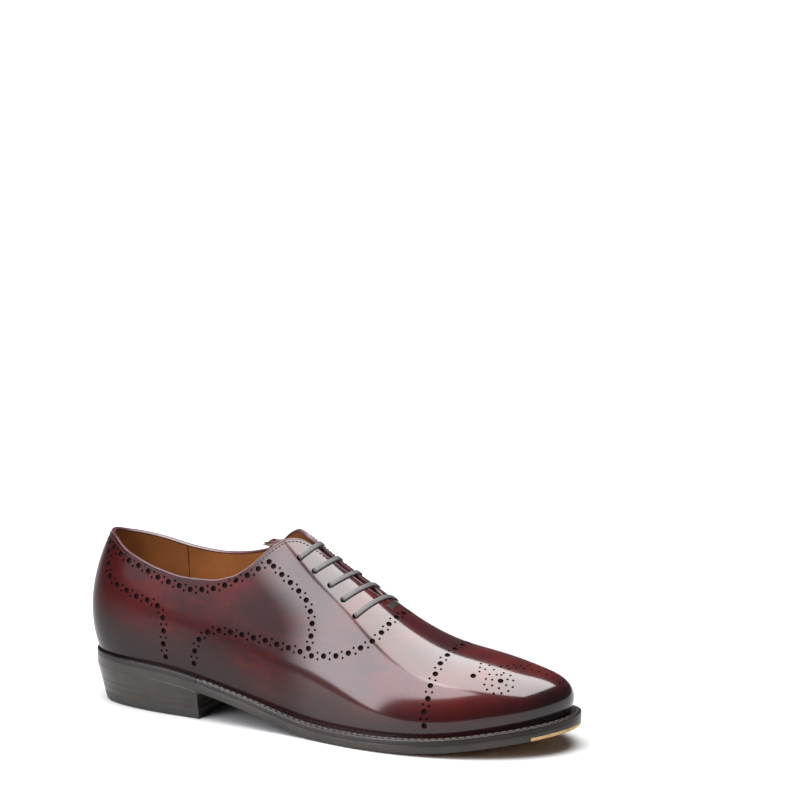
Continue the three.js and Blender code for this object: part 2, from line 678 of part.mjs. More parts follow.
/** Points that carry the lace down through an eyelet; `to` is where its hidden run goes. */
function throughEyelet(index, side, to) {
  const { s, t } = eyeletFrame(index, side);
  const q = side > 0 ? -1 : 1;
  const bar = (amount) => {
    const [at, share] = barAt(index, q * (1 - amount));
    return [at, share];
  };
  const top = [[0.1, LACE_LIFT], [0.035, LACE_LIFT - 0.1], [0.008, 0.25]];
  const points = top.map(([amount, height]) => lacePoint(...bar(amount), height, 0));
  const turn = runTurn([s, t], to);
  points.push(lacePoint(s, t, -0.7, 0.25 * turn));
  points.push(lacePoint(s, t, -2.8, 0.75 * turn));
  const reach = Math.hypot(...runBetween([s, t], to));
  [[0.05, 0.9 - LACE_DEPTH], [0.6, 0.15 - LACE_DEPTH], [2, -LACE_DEPTH]].forEach(([distance, height]) => {
    const f = distance / reach;
    const place = [s + (to[0] - s) * f, t + (to[1] - t) * f];
    points.push(lacePoint(...place, height, turn));
  });
  return points;
}

/** Tucked end of the lace: from an eyelet down the inside of the quarter. */
function tailEnd(index, side) {
  const { s } = eyeletFrame(index, side);
  return [s, 0.42];
}

/** The lace's whole route, from one tucked end through every eyelet to the other. */
function laceRoute() {
  const route = [];
  const place = (index, side) => {
    const frame = eyeletFrame(index, side);
    return [frame.s, frame.t];
  };
  let side = 1;
  let from = tailEnd(0, side);
  for (let index = 0; index < EYELETS.length; index += 1) {
    const first = throughEyelet(index, side, from).reverse();
    const runs = hiddenRun(from, place(index, side), index === 0 ? 4 : 2);
    if (index === 0) route.push(lacePoint(...from, -LACE_DEPTH, 0), ...runs.slice(0, -1));
    route.push(...first);
    const q = side > 0 ? -1 : 1;
    [0.6, 0.25, 0, -0.25, -0.6].forEach((f) => {
      route.push(lacePoint(...barAt(index, q * f), LACE_LIFT, 0));
    });
    side = -side;
    const isLast = index === EYELETS.length - 1;
    const next = isLast ? tailEnd(index, side) : place(index + 1, side);
    route.push(...throughEyelet(index, side, next));
    if (isLast) {
      const tail = hiddenRun(place(index, side), next, 4).slice(1);
      route.push(...tail, lacePoint(...next, -LACE_DEPTH, 0));
    }
    from = place(index, side);
  }
  return route;
}

/** Section frames along the route: the width direction is kept square to the run. */
function laceFrames(route) {
  let last = null;
  return route.map((here, k) => {
    const before = route[Math.max(k - 1, 0)].point;
    const after = route[Math.min(k + 1, route.length - 1)].point;
    const run = after.clone().sub(before).normalize();
    const width = here.width.clone().addScaledVector(run, -here.width.dot(run)).normalize();
    if (last && width.dot(last) < 0) width.negate();
    last = width;
    return { point: here.point, run, width, height: run.clone().cross(width) };
  });
}

function oval(frame, halfWidth, halfHeight) {
  return Array.from({ length: 8 }, (_, k) => {
    const angle = ((k + 0.5) * Math.PI) / 4;
    return frame.point.clone()
      .addScaledVector(frame.width, (halfWidth * Math.cos(angle)) / Math.cos(Math.PI / 8))
      .addScaledVector(frame.height, (halfHeight * Math.sin(angle)) / Math.cos(Math.PI / 8));
  });
}

const frames = laceFrames(laceRoute());

function makeLace() {
  return sweep(frames.map((frame) => oval(frame, LACE_WIDTH / 2, LACE_THICKNESS / 2)), false);
}

/** Metal tip that carries on from an end of the lace, a little away from the lining. */
function makeAglet(end, direction) {
  const inward = new THREE.Vector3(0, -Math.sign(end.point.y), 0);
  const run = end.run.clone().multiplyScalar(direction).addScaledVector(inward, 0.3).normalize();
  const start = end.point.clone().addScaledVector(end.run, direction * 2 * CLEARANCE);
  return rod(start, start.clone().addScaledVector(run, AGLET_LENGTH), 0.9, 8);
}

/** Stitched bar that holds the throat together, bent over the ridge. */
function makeBartack() {
  const sections = [-1, -0.5, 0, 0.5, 1].map((q) => {
    const t = 1 - 0.085 * Math.abs(q);
    const corner = (shift, height) => {
      const fromHeel = THROAT + 0.05 + shift;
      const s = q <= 0 ? fromHeel : LOOP - fromHeel;
      return lastPoint(s, t).addScaledVector(lastNormal(s, t), height);
    };
    return [corner(-0.045, 0.4), corner(0.045, 0.4), corner(0.035, 1), corner(-0.035, 1)];
  });
  return sweep(sections, false);
}

// ---------------------------------------------------------------- bottom
const nailTop = NAIL_LENGTH + 0.2;

/** Plan places of the heel nails, in a row round the back of the heel. */
function nailPlaces() {
  return [-2.6, -1.3, 0, 1.3, 2.6].map((s) => insetPoint(s, 12));
}

const nailRod = ([x, y], radius, from, to) => {
  return rod(new THREE.Vector3(x, y, from), new THREE.Vector3(x, y, to), radius, 8);
};
const nailHoles = () => nailPlaces().map((place) => nailRod(place, NAIL_RADIUS + CLEARANCE, -1, nailTop + CLEARANCE));

/** Outline pairs of the heel at a height, leaning in towards the ground. */
function heelPairs(z) {
  const lean = HEEL_TAPER * (1 - z / HEEL_PITCH);
  return pairsBetween(null, HEEL_LENGTH * GRADE_X, (s) => lean * (1 - 0.12 * Math.min(s, 4)) - weltReach(s));
}

function makeTopPiece() {
  const body = plate(heelPairs(0), heelPairs(TOP_PIECE_THICKNESS), flat(0), flat(TOP_PIECE_THICKNESS));
  return cut(body, nailHoles());
}

/** Heel lift by number; the last one is shaped to the outsole above it. */
function makeHeelLift(number) {
  const pitch = HEEL_LIFT_THICKNESS + CLEARANCE;
  const bottom = TOP_PIECE_THICKNESS + CLEARANCE + (number - 1) * pitch;
  const top = bottom + HEEL_LIFT_THICKNESS;
  const meetsSole = number === 3;
  const highPairs = heelPairs(meetsSole ? HEEL_PITCH : top);
  const body = plate(heelPairs(bottom), highPairs, flat(bottom), meetsSole ? above(-CLEARANCE) : flat(top));
  return number === 1 ? cut(body, nailHoles()) : body;
}

const TOE_PLATE_BACK = SHOE_LENGTH - TOE_PLATE_LENGTH;
const soleOutline = (s) => -weltReach(s);

/** Screws of the toe plate, in a shallow V. */
function screwPlaces() {
  const back = TOE_PLATE_BACK + 4.5;
  return [[back, -7 * GRADE_Y], [back, 13 * GRADE_Y], [back + 5, 3.5 * GRADE_Y]];
}

function screwRod([x, y], radius, extra) {
  const bottom = soleZ(x) + 0.3 - extra;
  return rod(new THREE.Vector3(x, y, bottom), new THREE.Vector3(x, y, bottom + SCREW_LENGTH + 2 * extra), radius, 10);
}
const screwHoles = () => screwPlaces().map((place) => screwRod(place, SCREW_RADIUS + CLEARANCE, 2));

function makeToePlate() {
  const pairs = pairsBetween(TOE_PLATE_BACK, null, soleOutline);
  return cut(plate(pairs, pairs, above(0), above(TOE_PLATE_THICKNESS)), screwHoles());
}

function makeOutsole() {
  const pairs = pairsBetween(null, null, soleOutline);
  const body = plate(pairs, pairs, above(0), above(OUTSOLE_THICKNESS));
  const wide = pairsBetween(TOE_PLATE_BACK - CLEARANCE, null, (s) => soleOutline(s) - 2);
  const recess = plate(wide, wide, above(-2), above(TOE_PLATE_THICKNESS + CLEARANCE));
  const screws = screwPlaces().map((place) => screwRod(place, SCREW_RADIUS + CLEARANCE, CLEARANCE));
  return cut(body, [recess, ...screws]);
}

/** Strip round the feather line, between two stations, from an outer to an inner inset. */
function strip(from, to, outerInset, innerInset, low, high) {
  const whole = to - from >= LOOP;
  const stations = columnsBetween(from, to);
  if (whole) stations.pop();
  const sections = stations.map((s) => {
    const corner = (inset, level) => {
      const [x, y] = insetPoint(s, inset);
      return new THREE.Vector3(x, y, soleZ(x) + level);
    };
    const out = outerInset(station(s));
    return [corner(out, low), corner(out, high), corner(innerInset, high), corner(innerInset, low)];
  });
  return sweep(sections, whole);
}

const BREAST_STATION = stationAt(HEEL_LENGTH * GRADE_X, 0, 1);
const WELT_TOP = FEATHER_LEVEL - 0.15;

function makeWelt() {
  const from = BREAST_STATION + SEAM;
  return strip(from, LOOP - from, soleOutline, -CLEARANCE, WELT_BOTTOM, WELT_TOP);
}

function makeHeelRand() {
  const end = BREAST_STATION - SEAM;
  return strip(-end, end, soleOutline, -CLEARANCE, WELT_BOTTOM, WELT_TOP);
}

/** Sewing thread that lies along the middle of the welt's top. */
function makeWeltThread() {
  const from = BREAST_STATION + 0.1;
  const middle = (s) => -0.62 * weltReach(s) - THREAD_SIZE / 2;
  const stations = columnsBetween(from, LOOP - from);
  const sections = stations.map((s) => {
    const corner = (inset, level) => {
      const [x, y] = insetPoint(s, inset);
      return new THREE.Vector3(x, y, soleZ(x) + level);
    };
    const out = middle(s);
    const low = WELT_TOP + 0.1;
    const high = low + THREAD_SIZE;
    return [corner(out, low), corner(out, high), corner(out + THREAD_SIZE, high), corner(out + THREAD_SIZE, low)];
  });
  return sweep(sections, false);
}

function makeInsole() {
  const pairs = pairsBetween(null, null, () => INSOLE_INSET);
  return plate(pairs, pairs, above(INSOLE_BOTTOM), above(INSOLE_TOP));
}

function makeInsoleRib() {
  const top = INSOLE_BOTTOM - CLEARANCE;
  return strip(0, LOOP, () => RIB_INSET, RIB_INSET + INSOLE_RIB_WIDTH, WELT_BOTTOM, top);
}

const SHANK_BACK = 52 * GRADE_X;

function shankPlate(grow) {
  const half = SHANK_WIDTH / 2 + grow;
  const steps = Array.from({ length: 9 }, (_, k) => {
    return SHANK_BACK - grow + ((SHANK_LENGTH + 2 * grow) * k) / 8;
  });
  const centre = -4 * GRADE_Y;
  const pairs = steps.map((x) => [[x, centre - half], [x, centre + half]]);
  const top = INSOLE_BOTTOM - CLEARANCE;
  return plate(pairs, pairs, above(top - SHANK_THICKNESS - grow), above(top + grow));
}

function makeCork() {
  const inset = RIB_INSET + INSOLE_RIB_WIDTH + CLEARANCE;
  const pairs = pairsBetween(null, null, () => inset);
  const body = plate(pairs, pairs, above(WELT_BOTTOM), above(INSOLE_BOTTOM - CLEARANCE));
  return cut(body, [shankPlate(CLEARANCE)]);
}

function makeHeelSock() {
  const pairs = pairsBetween(null, HEEL_SOCK_LENGTH * GRADE_X, () => INSOLE_INSET + 1.2);
  const bottom = INSOLE_TOP + CLEARANCE;
  return plate(pairs, pairs, above(bottom), above(bottom + HEEL_SOCK_THICKNESS));
}

// ---------------------------------------------------------------- assembly
const LEATHERS = {
  burgundy: { color: 0x4a1a1c, roughness: 0.3, metalness: 0 },
  lining: { color: 0xb8743a, roughness: 0.6, metalness: 0 },
  stiff: { color: 0x9a7a52, roughness: 0.8, metalness: 0 },
  insole: { color: 0xc49a66, roughness: 0.7, metalness: 0 },
  edge: { color: 0x2e2624, roughness: 0.4, metalness: 0 },
  tan: { color: 0xc08a50, roughness: 0.5, metalness: 0 },
};
const OTHERS = {
  cork: { color: 0x8a5a34, roughness: 0.9, metalness: 0 },
  steel: { color: 0x8d9196, roughness: 0.35, metalness: 1 },
  brass: { color: 0xb8934a, roughness: 0.3, metalness: 1 },
  lace: { color: 0x4c4a48, roughness: 0.7, metalness: 0 },
  thread: { color: 0xa8a096, roughness: 0.8, metalness: 0 },
  rubber: { color: 0x1d1c1c, roughness: 0.8, metalness: 0 },
};
const LOOKS = { ...LEATHERS, ...OTHERS };

const shoe = new THREE.Group();

function add(name, geometry, look) {
  const plain = geometry.index ? geometry.toNonIndexed() : geometry;
  plain.computeVertexNormals();
  const mesh = new THREE.Mesh(plain, new THREE.MeshStandardMaterial(LOOKS[look]));
  mesh.name = name;
  shoe.add(mesh);
}

add("upper", makeUpper(), "burgundy");
add("topline_binding", makeBinding(), "burgundy");
add("heel_lining", makeHeelLining(), "lining");
add("quarter_lining_lateral", makeQuarterLining(1), "lining");
add("quarter_lining_medial", makeQuarterLining(-1), "lining");
add("vamp_lining", makeVampLining(), "lining");
add("heel_stiffener", makeHeelStiffener(), "stiff");
add("toe_puff", makeToePuff(), "stiff");
add("tongue", makeTongueLayer(TONGUE_DEPTH, TONGUE_THICKNESS), "burgundy");
add("tongue_lining", makeTongueLayer(TONGUE_INNER, TONGUE_LINING_THICKNESS), "lining");
EYELETS.forEach((_, index) => {
  add(`eyelet_lateral_${index + 1}`, makeEyelet(index, 1), "brass");
  add(`eyelet_medial_${index + 1}`, makeEyelet(index, -1), "brass");
});
add("shoelace", makeLace(), "lace");
add("aglet_lateral", makeAglet(frames[0], -1), "steel");
add("aglet_medial", makeAglet(frames[frames.length - 1], 1), "steel");
add("throat_bartack", makeBartack(), "thread");
add("insole", makeInsole(), "insole");
add("insole_rib", makeInsoleRib(), "insole");
add("heel_sock", makeHeelSock(), "lining");
add("cork_filler", makeCork(), "cork");
add("shank", shankPlate(0), "steel");
add("welt", makeWelt(), "edge");
add("heel_rand", makeHeelRand(), "edge");
add("welt_thread", makeWeltThread(), "thread");
add("outsole", makeOutsole(), "tan");
add("toe_plate", makeToePlate(), "brass");
screwPlaces().forEach((place, k) => add(`toe_plate_screw_${k + 1}`, screwRod(place, SCREW_RADIUS, 0), "steel"));
[1, 2, 3].forEach((number) => add(`heel_lift_${number}`, makeHeelLift(number), "edge"));
add("top_piece", makeTopPiece(), "rubber");
nailPlaces().forEach((place, k) => {
  add(`heel_nail_${k + 1}`, nailRod(place, NAIL_RADIUS, 0.2, nailTop), "brass");
});

// The origin goes to the middle of the bounding box, on the ground.
const box = new THREE.Box3().setFromObject(shoe);
const middle = box.getCenter(new THREE.Vector3());
shoe.position.set(-middle.x, -middle.y, -box.min.z);

export default shoe;
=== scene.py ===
"""Looks of a men's wholecut oxford shoe with punched decoration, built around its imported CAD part.

Every leather layer is worked out from one last. A station s goes round the feather line from the
heel (0) along the outer side (1-11) to the toe tip (12) and back along the inner side (13-23), and
a share t climbs the wall from the feather line (0) to the ridge (1). Shapes are in millimetres
from the heel's back, and become metres in the part's own frame when a mesh is made.
"""

import math

import bpy
import numpy as np
from mathutils import Matrix, Vector


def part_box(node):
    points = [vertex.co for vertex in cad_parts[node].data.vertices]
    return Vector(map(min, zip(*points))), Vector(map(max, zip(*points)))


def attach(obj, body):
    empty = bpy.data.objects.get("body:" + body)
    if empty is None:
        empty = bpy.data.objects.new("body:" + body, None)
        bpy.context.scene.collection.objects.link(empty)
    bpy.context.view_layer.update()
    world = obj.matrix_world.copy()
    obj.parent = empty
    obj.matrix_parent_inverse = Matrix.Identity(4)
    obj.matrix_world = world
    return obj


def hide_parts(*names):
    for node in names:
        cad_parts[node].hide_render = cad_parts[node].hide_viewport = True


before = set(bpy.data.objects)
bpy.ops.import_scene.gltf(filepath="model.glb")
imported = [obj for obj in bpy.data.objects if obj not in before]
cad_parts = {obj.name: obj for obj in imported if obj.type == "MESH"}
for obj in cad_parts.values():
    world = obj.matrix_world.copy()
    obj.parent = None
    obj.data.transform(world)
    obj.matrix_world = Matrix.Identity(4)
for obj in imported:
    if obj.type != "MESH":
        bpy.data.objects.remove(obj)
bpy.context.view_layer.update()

# ------------------------------------------------------------------ from last to part frame
SHANK_BACK_X = 52.0  # where the shank starts, from the heel's back
SHANK_MIDDLE_Y = -4.0
_shank_low, _shank_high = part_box("shank")
TO_FRAME = np.array([
    _shank_low.x * 1000 - SHANK_BACK_X,
    (_shank_low.y + _shank_high.y) * 500 - SHANK_MIDDLE_Y,
    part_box("top_piece")[0].z * 1000,
])
MM = 0.001


def in_frame(points):
    """Metres in the part's frame from millimetres from the heel's back."""
    return (np.asarray(points, float) + TO_FRAME) * MM


# ------------------------------------------------------------------ camera
CAMERA_AZIMUTH = math.radians(26.0)
CAMERA_HEIGHT = math.radians(15.3)
CAMERA_DISTANCE = 2.05
LENS = 159.05  # mm on a 36 mm sensor
AIM_RIGHT = 0.0407  # metres the aim lies right of and above the shoe's middle
AIM_UP = 0.151


def add_camera():
    """Long-lens camera that looks at the shoe's outer side from a little above."""
    ca, sa = math.cos(CAMERA_AZIMUTH), math.sin(CAMERA_AZIMUTH)
    ce, se = math.cos(CAMERA_HEIGHT), math.sin(CAMERA_HEIGHT)
    middle = Vector(in_frame([150.0, 0.0, 35.0]))
    back = Vector((sa * ce, -ca * ce, se))
    right = Vector((ca, sa, 0))
    up = Vector((-sa * se, ca * se, ce))
    place = middle + back * CAMERA_DISTANCE
    aim = middle + right * AIM_RIGHT + up * AIM_UP
    away = (place - aim).normalized()
    level = Vector((0, 0, 1)).cross(away).normalized()
    turn = Matrix((level, away.cross(level), away)).transposed()
    data = bpy.data.cameras.new("camera")
    data.lens = LENS
    data.sensor_width = 36
    data.clip_end = 60
    camera = bpy.data.objects.new("camera", data)
    camera.matrix_world = Matrix.Translation(place) @ turn.to_4x4()
    bpy.context.scene.collection.objects.link(camera)
    bpy.context.scene.camera = camera


add_camera()

# ------------------------------------------------------------------ curves
def spline_controls(points, closed):
    """Control values of the cubic B-spline that passes through the points at whole numbers."""
    points = np.asarray(points, float)
    controls = points.copy()
    for _ in range(60):
        new = 1.5 * points - 0.25 * (np.roll(controls, 1) + np.roll(controls, -1))
        if not closed:
            new[0], new[-1] = points[0], points[-1]
        controls = new
    return controls


def spline(points, closed):
    """Smooth function through evenly spaced points: a uniform cubic B-spline."""
    c = spline_controls(points, closed)
    count = len(c)
    if closed:
        padded = np.concatenate([c[-1:], c, c[:3]])
    else:
        padded = np.concatenate([[2 * c[0] - c[1]], c, [2 * c[-1] - c[-2]]])

    def at(u):
        u = np.asarray(u, float)
        i = np.floor(u).astype(int)
        i = np.mod(i, count) if closed else np.clip(i, 0, count - 2)
        f = u - np.floor(u) if closed else u - i
        before = (1 - f) ** 3 * padded[i]
        here = (3 * f**3 - 6 * f**2 + 4) * padded[i + 1]
        ahead = (-3 * f**3 + 3 * f**2 + 3 * f + 1) * padded[i + 2]
        return (before + here + ahead + f**3 * padded[i + 3]) / 6

    return at


def monotone(knots):
    """Curve through (x, y) knots that never overshoots, flat at its first knot."""
    x, y = np.array(knots, float).T
    slope = np.diff(y) / np.diff(x)
    tangents = np.zeros(len(x))
    tangents[-1] = slope[-1]
    product = slope[:-1] * slope[1:]
    total = np.where(product > 0, slope[:-1] + slope[1:], 1)
    tangents[1:-1] = np.where(product > 0, 2 * product / total, 0)

    def at(u):
        u = np.asarray(u, float)
        k = np.clip(np.searchsorted(x, u, side="left") - 1, 0, len(x) - 2)
        width = x[k + 1] - x[k]
        f = np.clip((u - x[k]) / width, 0, 1)
        bend = f * (1 - f) * width
        ease = f * f * (3 - 2 * f)
        return (y[k] + (y[k + 1] - y[k]) * ease
                + bend * ((1 - f) * tangents[k] - f * tangents[k + 1]))

    return at


def ramp(x, zero, one):
    """Smooth step from 0 at `zero` to 1 at `one`."""
    f = np.clip((np.asarray(x, float) - zero) / (one - zero), 0, 1)
    return f * f * (3 - 2 * f)


# ------------------------------------------------------------------ the last
LENGTH = 302.0
TOE = 12
LOOP = 24
THROAT = 7.2
OUTER_X = [1, 6, 22, 50, 84, 118, 150, 182, 212, 240, 265, 286]
OUTER_Y = [0, -16, -26, -31, -33, -35.5, -38, -42.5, -44, -40, -31, -17]
INNER_X = [296.5, 288, 266, 240, 212, 182, 150, 118, 84, 50, 22, 6]
INNER_Y = [3, 21, 33, 40.5, 42.5, 35, 25, 22, 26, 29, 26, 16]
RIDGE_X = [28, 30, 36, 56, 88, 121, 152, 183, 211, 237, 256, 266, 269]
WALL_HEIGHT = [40, 40, 38, 36, 36, 34, 30, 26, 22, 20, 19, 19, 20]
OUTER_BULGE = [15, 14, 8, 7, 8, 9, 7, 5, 4, 4, 5, 7, 9]
INNER_BULGE = [15, 14, 8, 7, 10, 12, 9, 5, 4, 4, 5, 7, 9]
RIDGE_REACH = [16, 13, 18, 17, 15, 16, 24, 27, 26, 24, 20, 15, 15]
RIDGE_ANGLE = [-180, -150, -122, -102, -90, -90, -90, -90, -90, -90, -72, -42, 0]
WELT_REACH = [1.4, 1.5, 2.3, 3, 3, 3.5, 5, 6, 6, 6, 6, 6, 6]
RIDGE_Z = [118, 119.5, 120, 120.5, 123, 114.5, 97, 81.5, 66, 55.5, 50.5, 44.5, 38]
HEEL_CURVE = [1, 0.964, 0.9, 0.665, 0.37, 0.067, 0, 0, 0, 0, 0]
TOE_CURVE = [0, 0, 0, 0, 0, 0, 0, 0.05, 0.24, 0.6, 1]
HEEL_PITCH = 22.4
TOE_SPRING = 12.5
OUTER_EDGE = [
    (0, 0.6), (1.3, 0.585), (2.3, 0.518), (3, 0.468), (3.5, 0.45), (4, 0.458), (4.4, 0.495),
    (4.7, 0.568), (5, 0.7), (5.25, 0.82), (5.5, 0.9), (5.8, 0.94), (6.2, 0.955), (6.8, 0.955),
    (THROAT, 1),
]
INNER_EDGE = [
    (0, 0.6), (1, 0.57), (1.8, 0.548), (2.3, 0.53), (3, 0.497), (3.4, 0.492), (3.9, 0.507),
    (4.3, 0.54), (4.7, 0.625), (5, 0.745), (5.25, 0.85), (5.5, 0.92), (5.8, 0.943),
    (6.2, 0.955), (6.8, 0.955), (THROAT, 1),
]
EYELETS = [(5.54, 0.772), (5.86, 0.775), (6.2, 0.768), (6.5, 0.74), (6.8, 0.692)]
INNER_EYELET_SHIFT = [0, 0.05, 0.1, 0.15, 0.2]

GAP = 0.25  # clearance that the part keeps between neighbours
UPPER_THICKNESS = 1.3
LINING_THICKNESS = 0.8
STIFFENER_THICKNESS = 1.2
LASTING_MARGIN = 6.0
SOLE_THICKNESS = 5.0
WELT_BOTTOM = SOLE_THICKNESS + GAP
FEATHER_LEVEL = WELT_BOTTOM + 3.0
WELT_TOP = FEATHER_LEVEL - 0.15
STIFFENER_DEPTH = UPPER_THICKNESS + GAP
LINING_SWELL = STIFFENER_THICKNESS + GAP
LINING_INNER = STIFFENER_DEPTH + LINING_THICKNESS
INSOLE_BOTTOM = WELT_BOTTOM + LINING_INNER + LINING_SWELL + GAP
INSOLE_TOP = INSOLE_BOTTOM + 3.0
INSOLE_INSET = LINING_INNER + LINING_SWELL + 0.6
MARGIN_ROW = -2  # end of the margin turned in under the insole
CORNER_ROW = -1


def mirrored(outer, inner, sign=1):
    """Closed table of 24 values from an outer and an inner half."""
    return list(outer[: TOE + 1]) + [sign * v for v in reversed(inner[1:TOE])]


feather_x = spline(OUTER_X + INNER_X, True)
feather_y = spline(OUTER_Y + INNER_Y, True)
ridge_x = spline(mirrored(RIDGE_X, RIDGE_X), True)
wall_height = spline(mirrored(WALL_HEIGHT, WALL_HEIGHT), True)
bulge = spline(mirrored(OUTER_BULGE, INNER_BULGE), True)
ridge_reach = spline(mirrored(RIDGE_REACH, RIDGE_REACH), True)
ridge_angle = spline(mirrored(RIDGE_ANGLE, RIDGE_ANGLE, -1) + [-RIDGE_ANGLE[0]], False)
welt_reach = spline(mirrored(WELT_REACH, WELT_REACH), True)
ridge_z = spline(RIDGE_Z, False)
heel_curve = spline(HEEL_CURVE, False)
toe_curve = spline(TOE_CURVE, False)
outer_edge = monotone(OUTER_EDGE)
inner_edge = monotone(INNER_EDGE)


def sole_z(x):
    """Height of the sole's underside: the heel's pitch and the toe's spring."""
    u = np.clip(np.asarray(x, float) / LENGTH * 10, 0, 10)
    return np.maximum(HEEL_PITCH * heel_curve(u) + TOE_SPRING * toe_curve(u), 0)


def ridge(x):
    """Ridge of the last at x: (y, z, slope of y, slope of z); it swings to the big toe."""
    swing = np.clip((x / LENGTH - 0.6) / 0.364, 0, 1)

    def height(at):
        return ridge_z(np.clip(at / LENGTH * 12, 0, 12))

    return (5 * swing**2, height(x), 10 * swing / (0.364 * LENGTH),
            height(x + 0.5) - height(x - 0.5))


def unit(v):
    """Vectors of length 1."""
    return v / np.maximum(np.linalg.norm(v, axis=-1, keepdims=True), 1e-12)


def feather(s):
    """Plan point of the feather line and its outward direction."""
    s = np.mod(s, LOOP)
    step = 1e-3
    dx = feather_x(s + step) - feather_x(s - step)
    dy = feather_y(s + step) - feather_y(s - step)
    size = np.hypot(dx, dy)
    return feather_x(s), feather_y(s), dy / size, -dx / size


def inset_point(s, inset):
    """Plan point of the feather line moved inward (outward when negative)."""
    x, y, nx, ny = feather(s)
    return x - nx * inset, y - ny * inset


def edge_share(s):
    """Share of the wall where the opening's edge lies; 1 ahead of the throat."""
    s = np.mod(s, LOOP)
    from_heel = np.minimum(s, LOOP - s)
    share = np.where(s <= TOE, outer_edge(from_heel), inner_edge(from_heel))
    return np.where(from_heel > THROAT - 1e-6, 1.0, share)


def last_point(s, t):
    """Cubic from the feather line up to the ridge.

    Its four controls are the feather point, that point raised by the wall's height and pushed out
    by the bulge, the ridge point pushed back along the direction of arrival, and the ridge point.
    """
    s, t = np.broadcast_arrays(np.mod(np.asarray(s, float), LOOP), np.asarray(t, float))
    fx, fy, nx, ny = feather(s)
    z = sole_z(fx) + FEATHER_LEVEL
    x = ridge_x(s)
    ry, rz, slope_y, slope_z = ridge(x)
    angle = np.radians(ridge_angle(s))
    reach = ridge_reach(s)
    out = bulge(s)
    start = np.stack([fx, fy, z], -1)
    wall = start + np.stack([nx * out, ny * out, wall_height(s)], -1)
    end = np.stack([x, ry, rz], -1)
    cos, sin = np.cos(angle), np.sin(angle)
    arrive = end + reach[..., None] * np.stack([cos, cos * slope_y + sin, cos * slope_z], -1)
    t = t[..., None]
    r = 1 - t
    return r**3 * start + 3 * r * r * t * wall + 3 * r * t * t * arrive + t**3 * end


def last_normal(s, t):
    """Outward unit normal: along the stations crossed with up the wall."""
    s, t = np.broadcast_arrays(np.mod(np.asarray(s, float), LOOP), np.asarray(t, float))
    step = 1e-3
    up = last_point(s, t + step) - last_point(s, t)
    normal = unit(np.cross(last_point(s + step, t) - last_point(s - step, t), up))
    _, _, slope_y, slope_z = ridge(ridge_x(s))
    top = unit(np.cross(
        np.stack([np.ones_like(s), slope_y, slope_z], -1), np.array([0.0, 1.0, 0.0])))
    return np.where((t > 0.999)[..., None], top, normal)


def swell(s, row):
    """How far the stiffener or the puff pushes the lining in, 0 to 1."""
    s = np.mod(s, LOOP)
    from_heel = np.minimum(s, LOOP - s)
    heel = ramp(from_heel, 3.6, 2.4) * ramp(row, 0.95, 0.6)
    return np.maximum(heel, ramp(np.abs(s - TOE), 3.2, 2))


def layer_points(s, rows, depth):
    """Points at a depth below the last: the wall's rows, after the margin's if asked for."""
    s = np.asarray(s, float)[:, None]
    rows = np.asarray(rows, float)[None, :]
    depth = np.broadcast_to(depth, (s.shape[0], rows.shape[1]))
    share = np.maximum(rows, 0) * edge_share(s)
    wall = last_point(s, share) - last_normal(s, share) * depth[..., None]
    inset = depth + (LASTING_MARGIN - depth) * np.clip(CORNER_ROW - rows, 0, 1)
    x, y = inset_point(s, inset)
    margin = np.stack([x, y, sole_z(x) + WELT_BOTTOM + depth], -1)
    return np.where((rows >= 0)[..., None], wall, margin)


# ------------------------------------------------------------------ meshes
def new_object(name, points, faces, smooth=True, face_materials=None):
    """Object from points in millimetres and faces; corners over 40 degrees stay crisp."""
    mesh = bpy.data.meshes.new(name)
    mesh.from_pydata(in_frame(points).tolist(), [], faces)
    mesh.validate()
    if face_materials is not None and len(face_materials) == len(mesh.polygons):
        mesh.polygons.foreach_set("material_index", np.asarray(face_materials, np.int32))
    finish_mesh(mesh, smooth)
    obj = bpy.data.objects.new(name, mesh)
    bpy.context.scene.collection.objects.link(obj)
    return obj


CREASE = math.radians(40)


def finish_mesh(mesh, smooth=True):
    """Smooth shading, apart from true corners."""
    mesh.polygons.foreach_set("use_smooth", np.full(len(mesh.polygons), smooth))
    if smooth:
        mesh.set_sharp_from_angle(angle=CREASE)
    mesh.update()


def weld(points, quads, marks=None):
    """Merges points at one place, drops quads with no area; returns points, faces, marks."""
    points = np.asarray(points, float).reshape(-1, 3)
    _, first, same = np.unique(np.round(points / 1e-3).astype(np.int64), axis=0,
                               return_index=True, return_inverse=True)
    quads = same.reshape(-1)[np.asarray(quads)]
    marks = np.zeros(len(quads), int) if marks is None else np.asarray(marks)
    repeat = quads == np.roll(quads, -1, axis=1)
    whole = repeat.sum(1) == 0
    three = repeat.sum(1) == 1
    kept = quads[three]
    order = np.argmax(repeat[three], axis=1)
    triangles = np.stack([kept[np.arange(len(kept)), (order + k) % 4] for k in (1, 2, 3)], 1)
    faces = quads[whole].tolist() + triangles.tolist()
    return points[first], faces, np.concatenate([marks[whole], marks[three]])


def grid_quads(rows, columns, wrap_rows=False, wrap_columns=False):
    """Quads of a grid of points numbered row by row."""
    i = np.arange(rows if wrap_rows else rows - 1)
    j = np.arange(columns if wrap_columns else columns - 1)
    i, j = [a.ravel() for a in np.meshgrid(i, j, indexing="ij")]
    down, beside = (i + 1) % rows, (j + 1) % columns
    return np.stack([i * columns + j, down * columns + j,
                     down * columns + beside, i * columns + beside], 1)


def outward(points, faces):
    """Faces turned so that the closed shape's volume is positive."""
    triangles = np.array([[f[0], f[k], f[k + 1]] for f in faces for k in range(1, len(f) - 1)])
    a, b, c = (points[triangles[:, k]] for k in range(3))
    volume = np.einsum("ij,ij->i", a, np.cross(b, c)).sum()
    return faces if volume > 0 else [f[::-1] for f in faces]


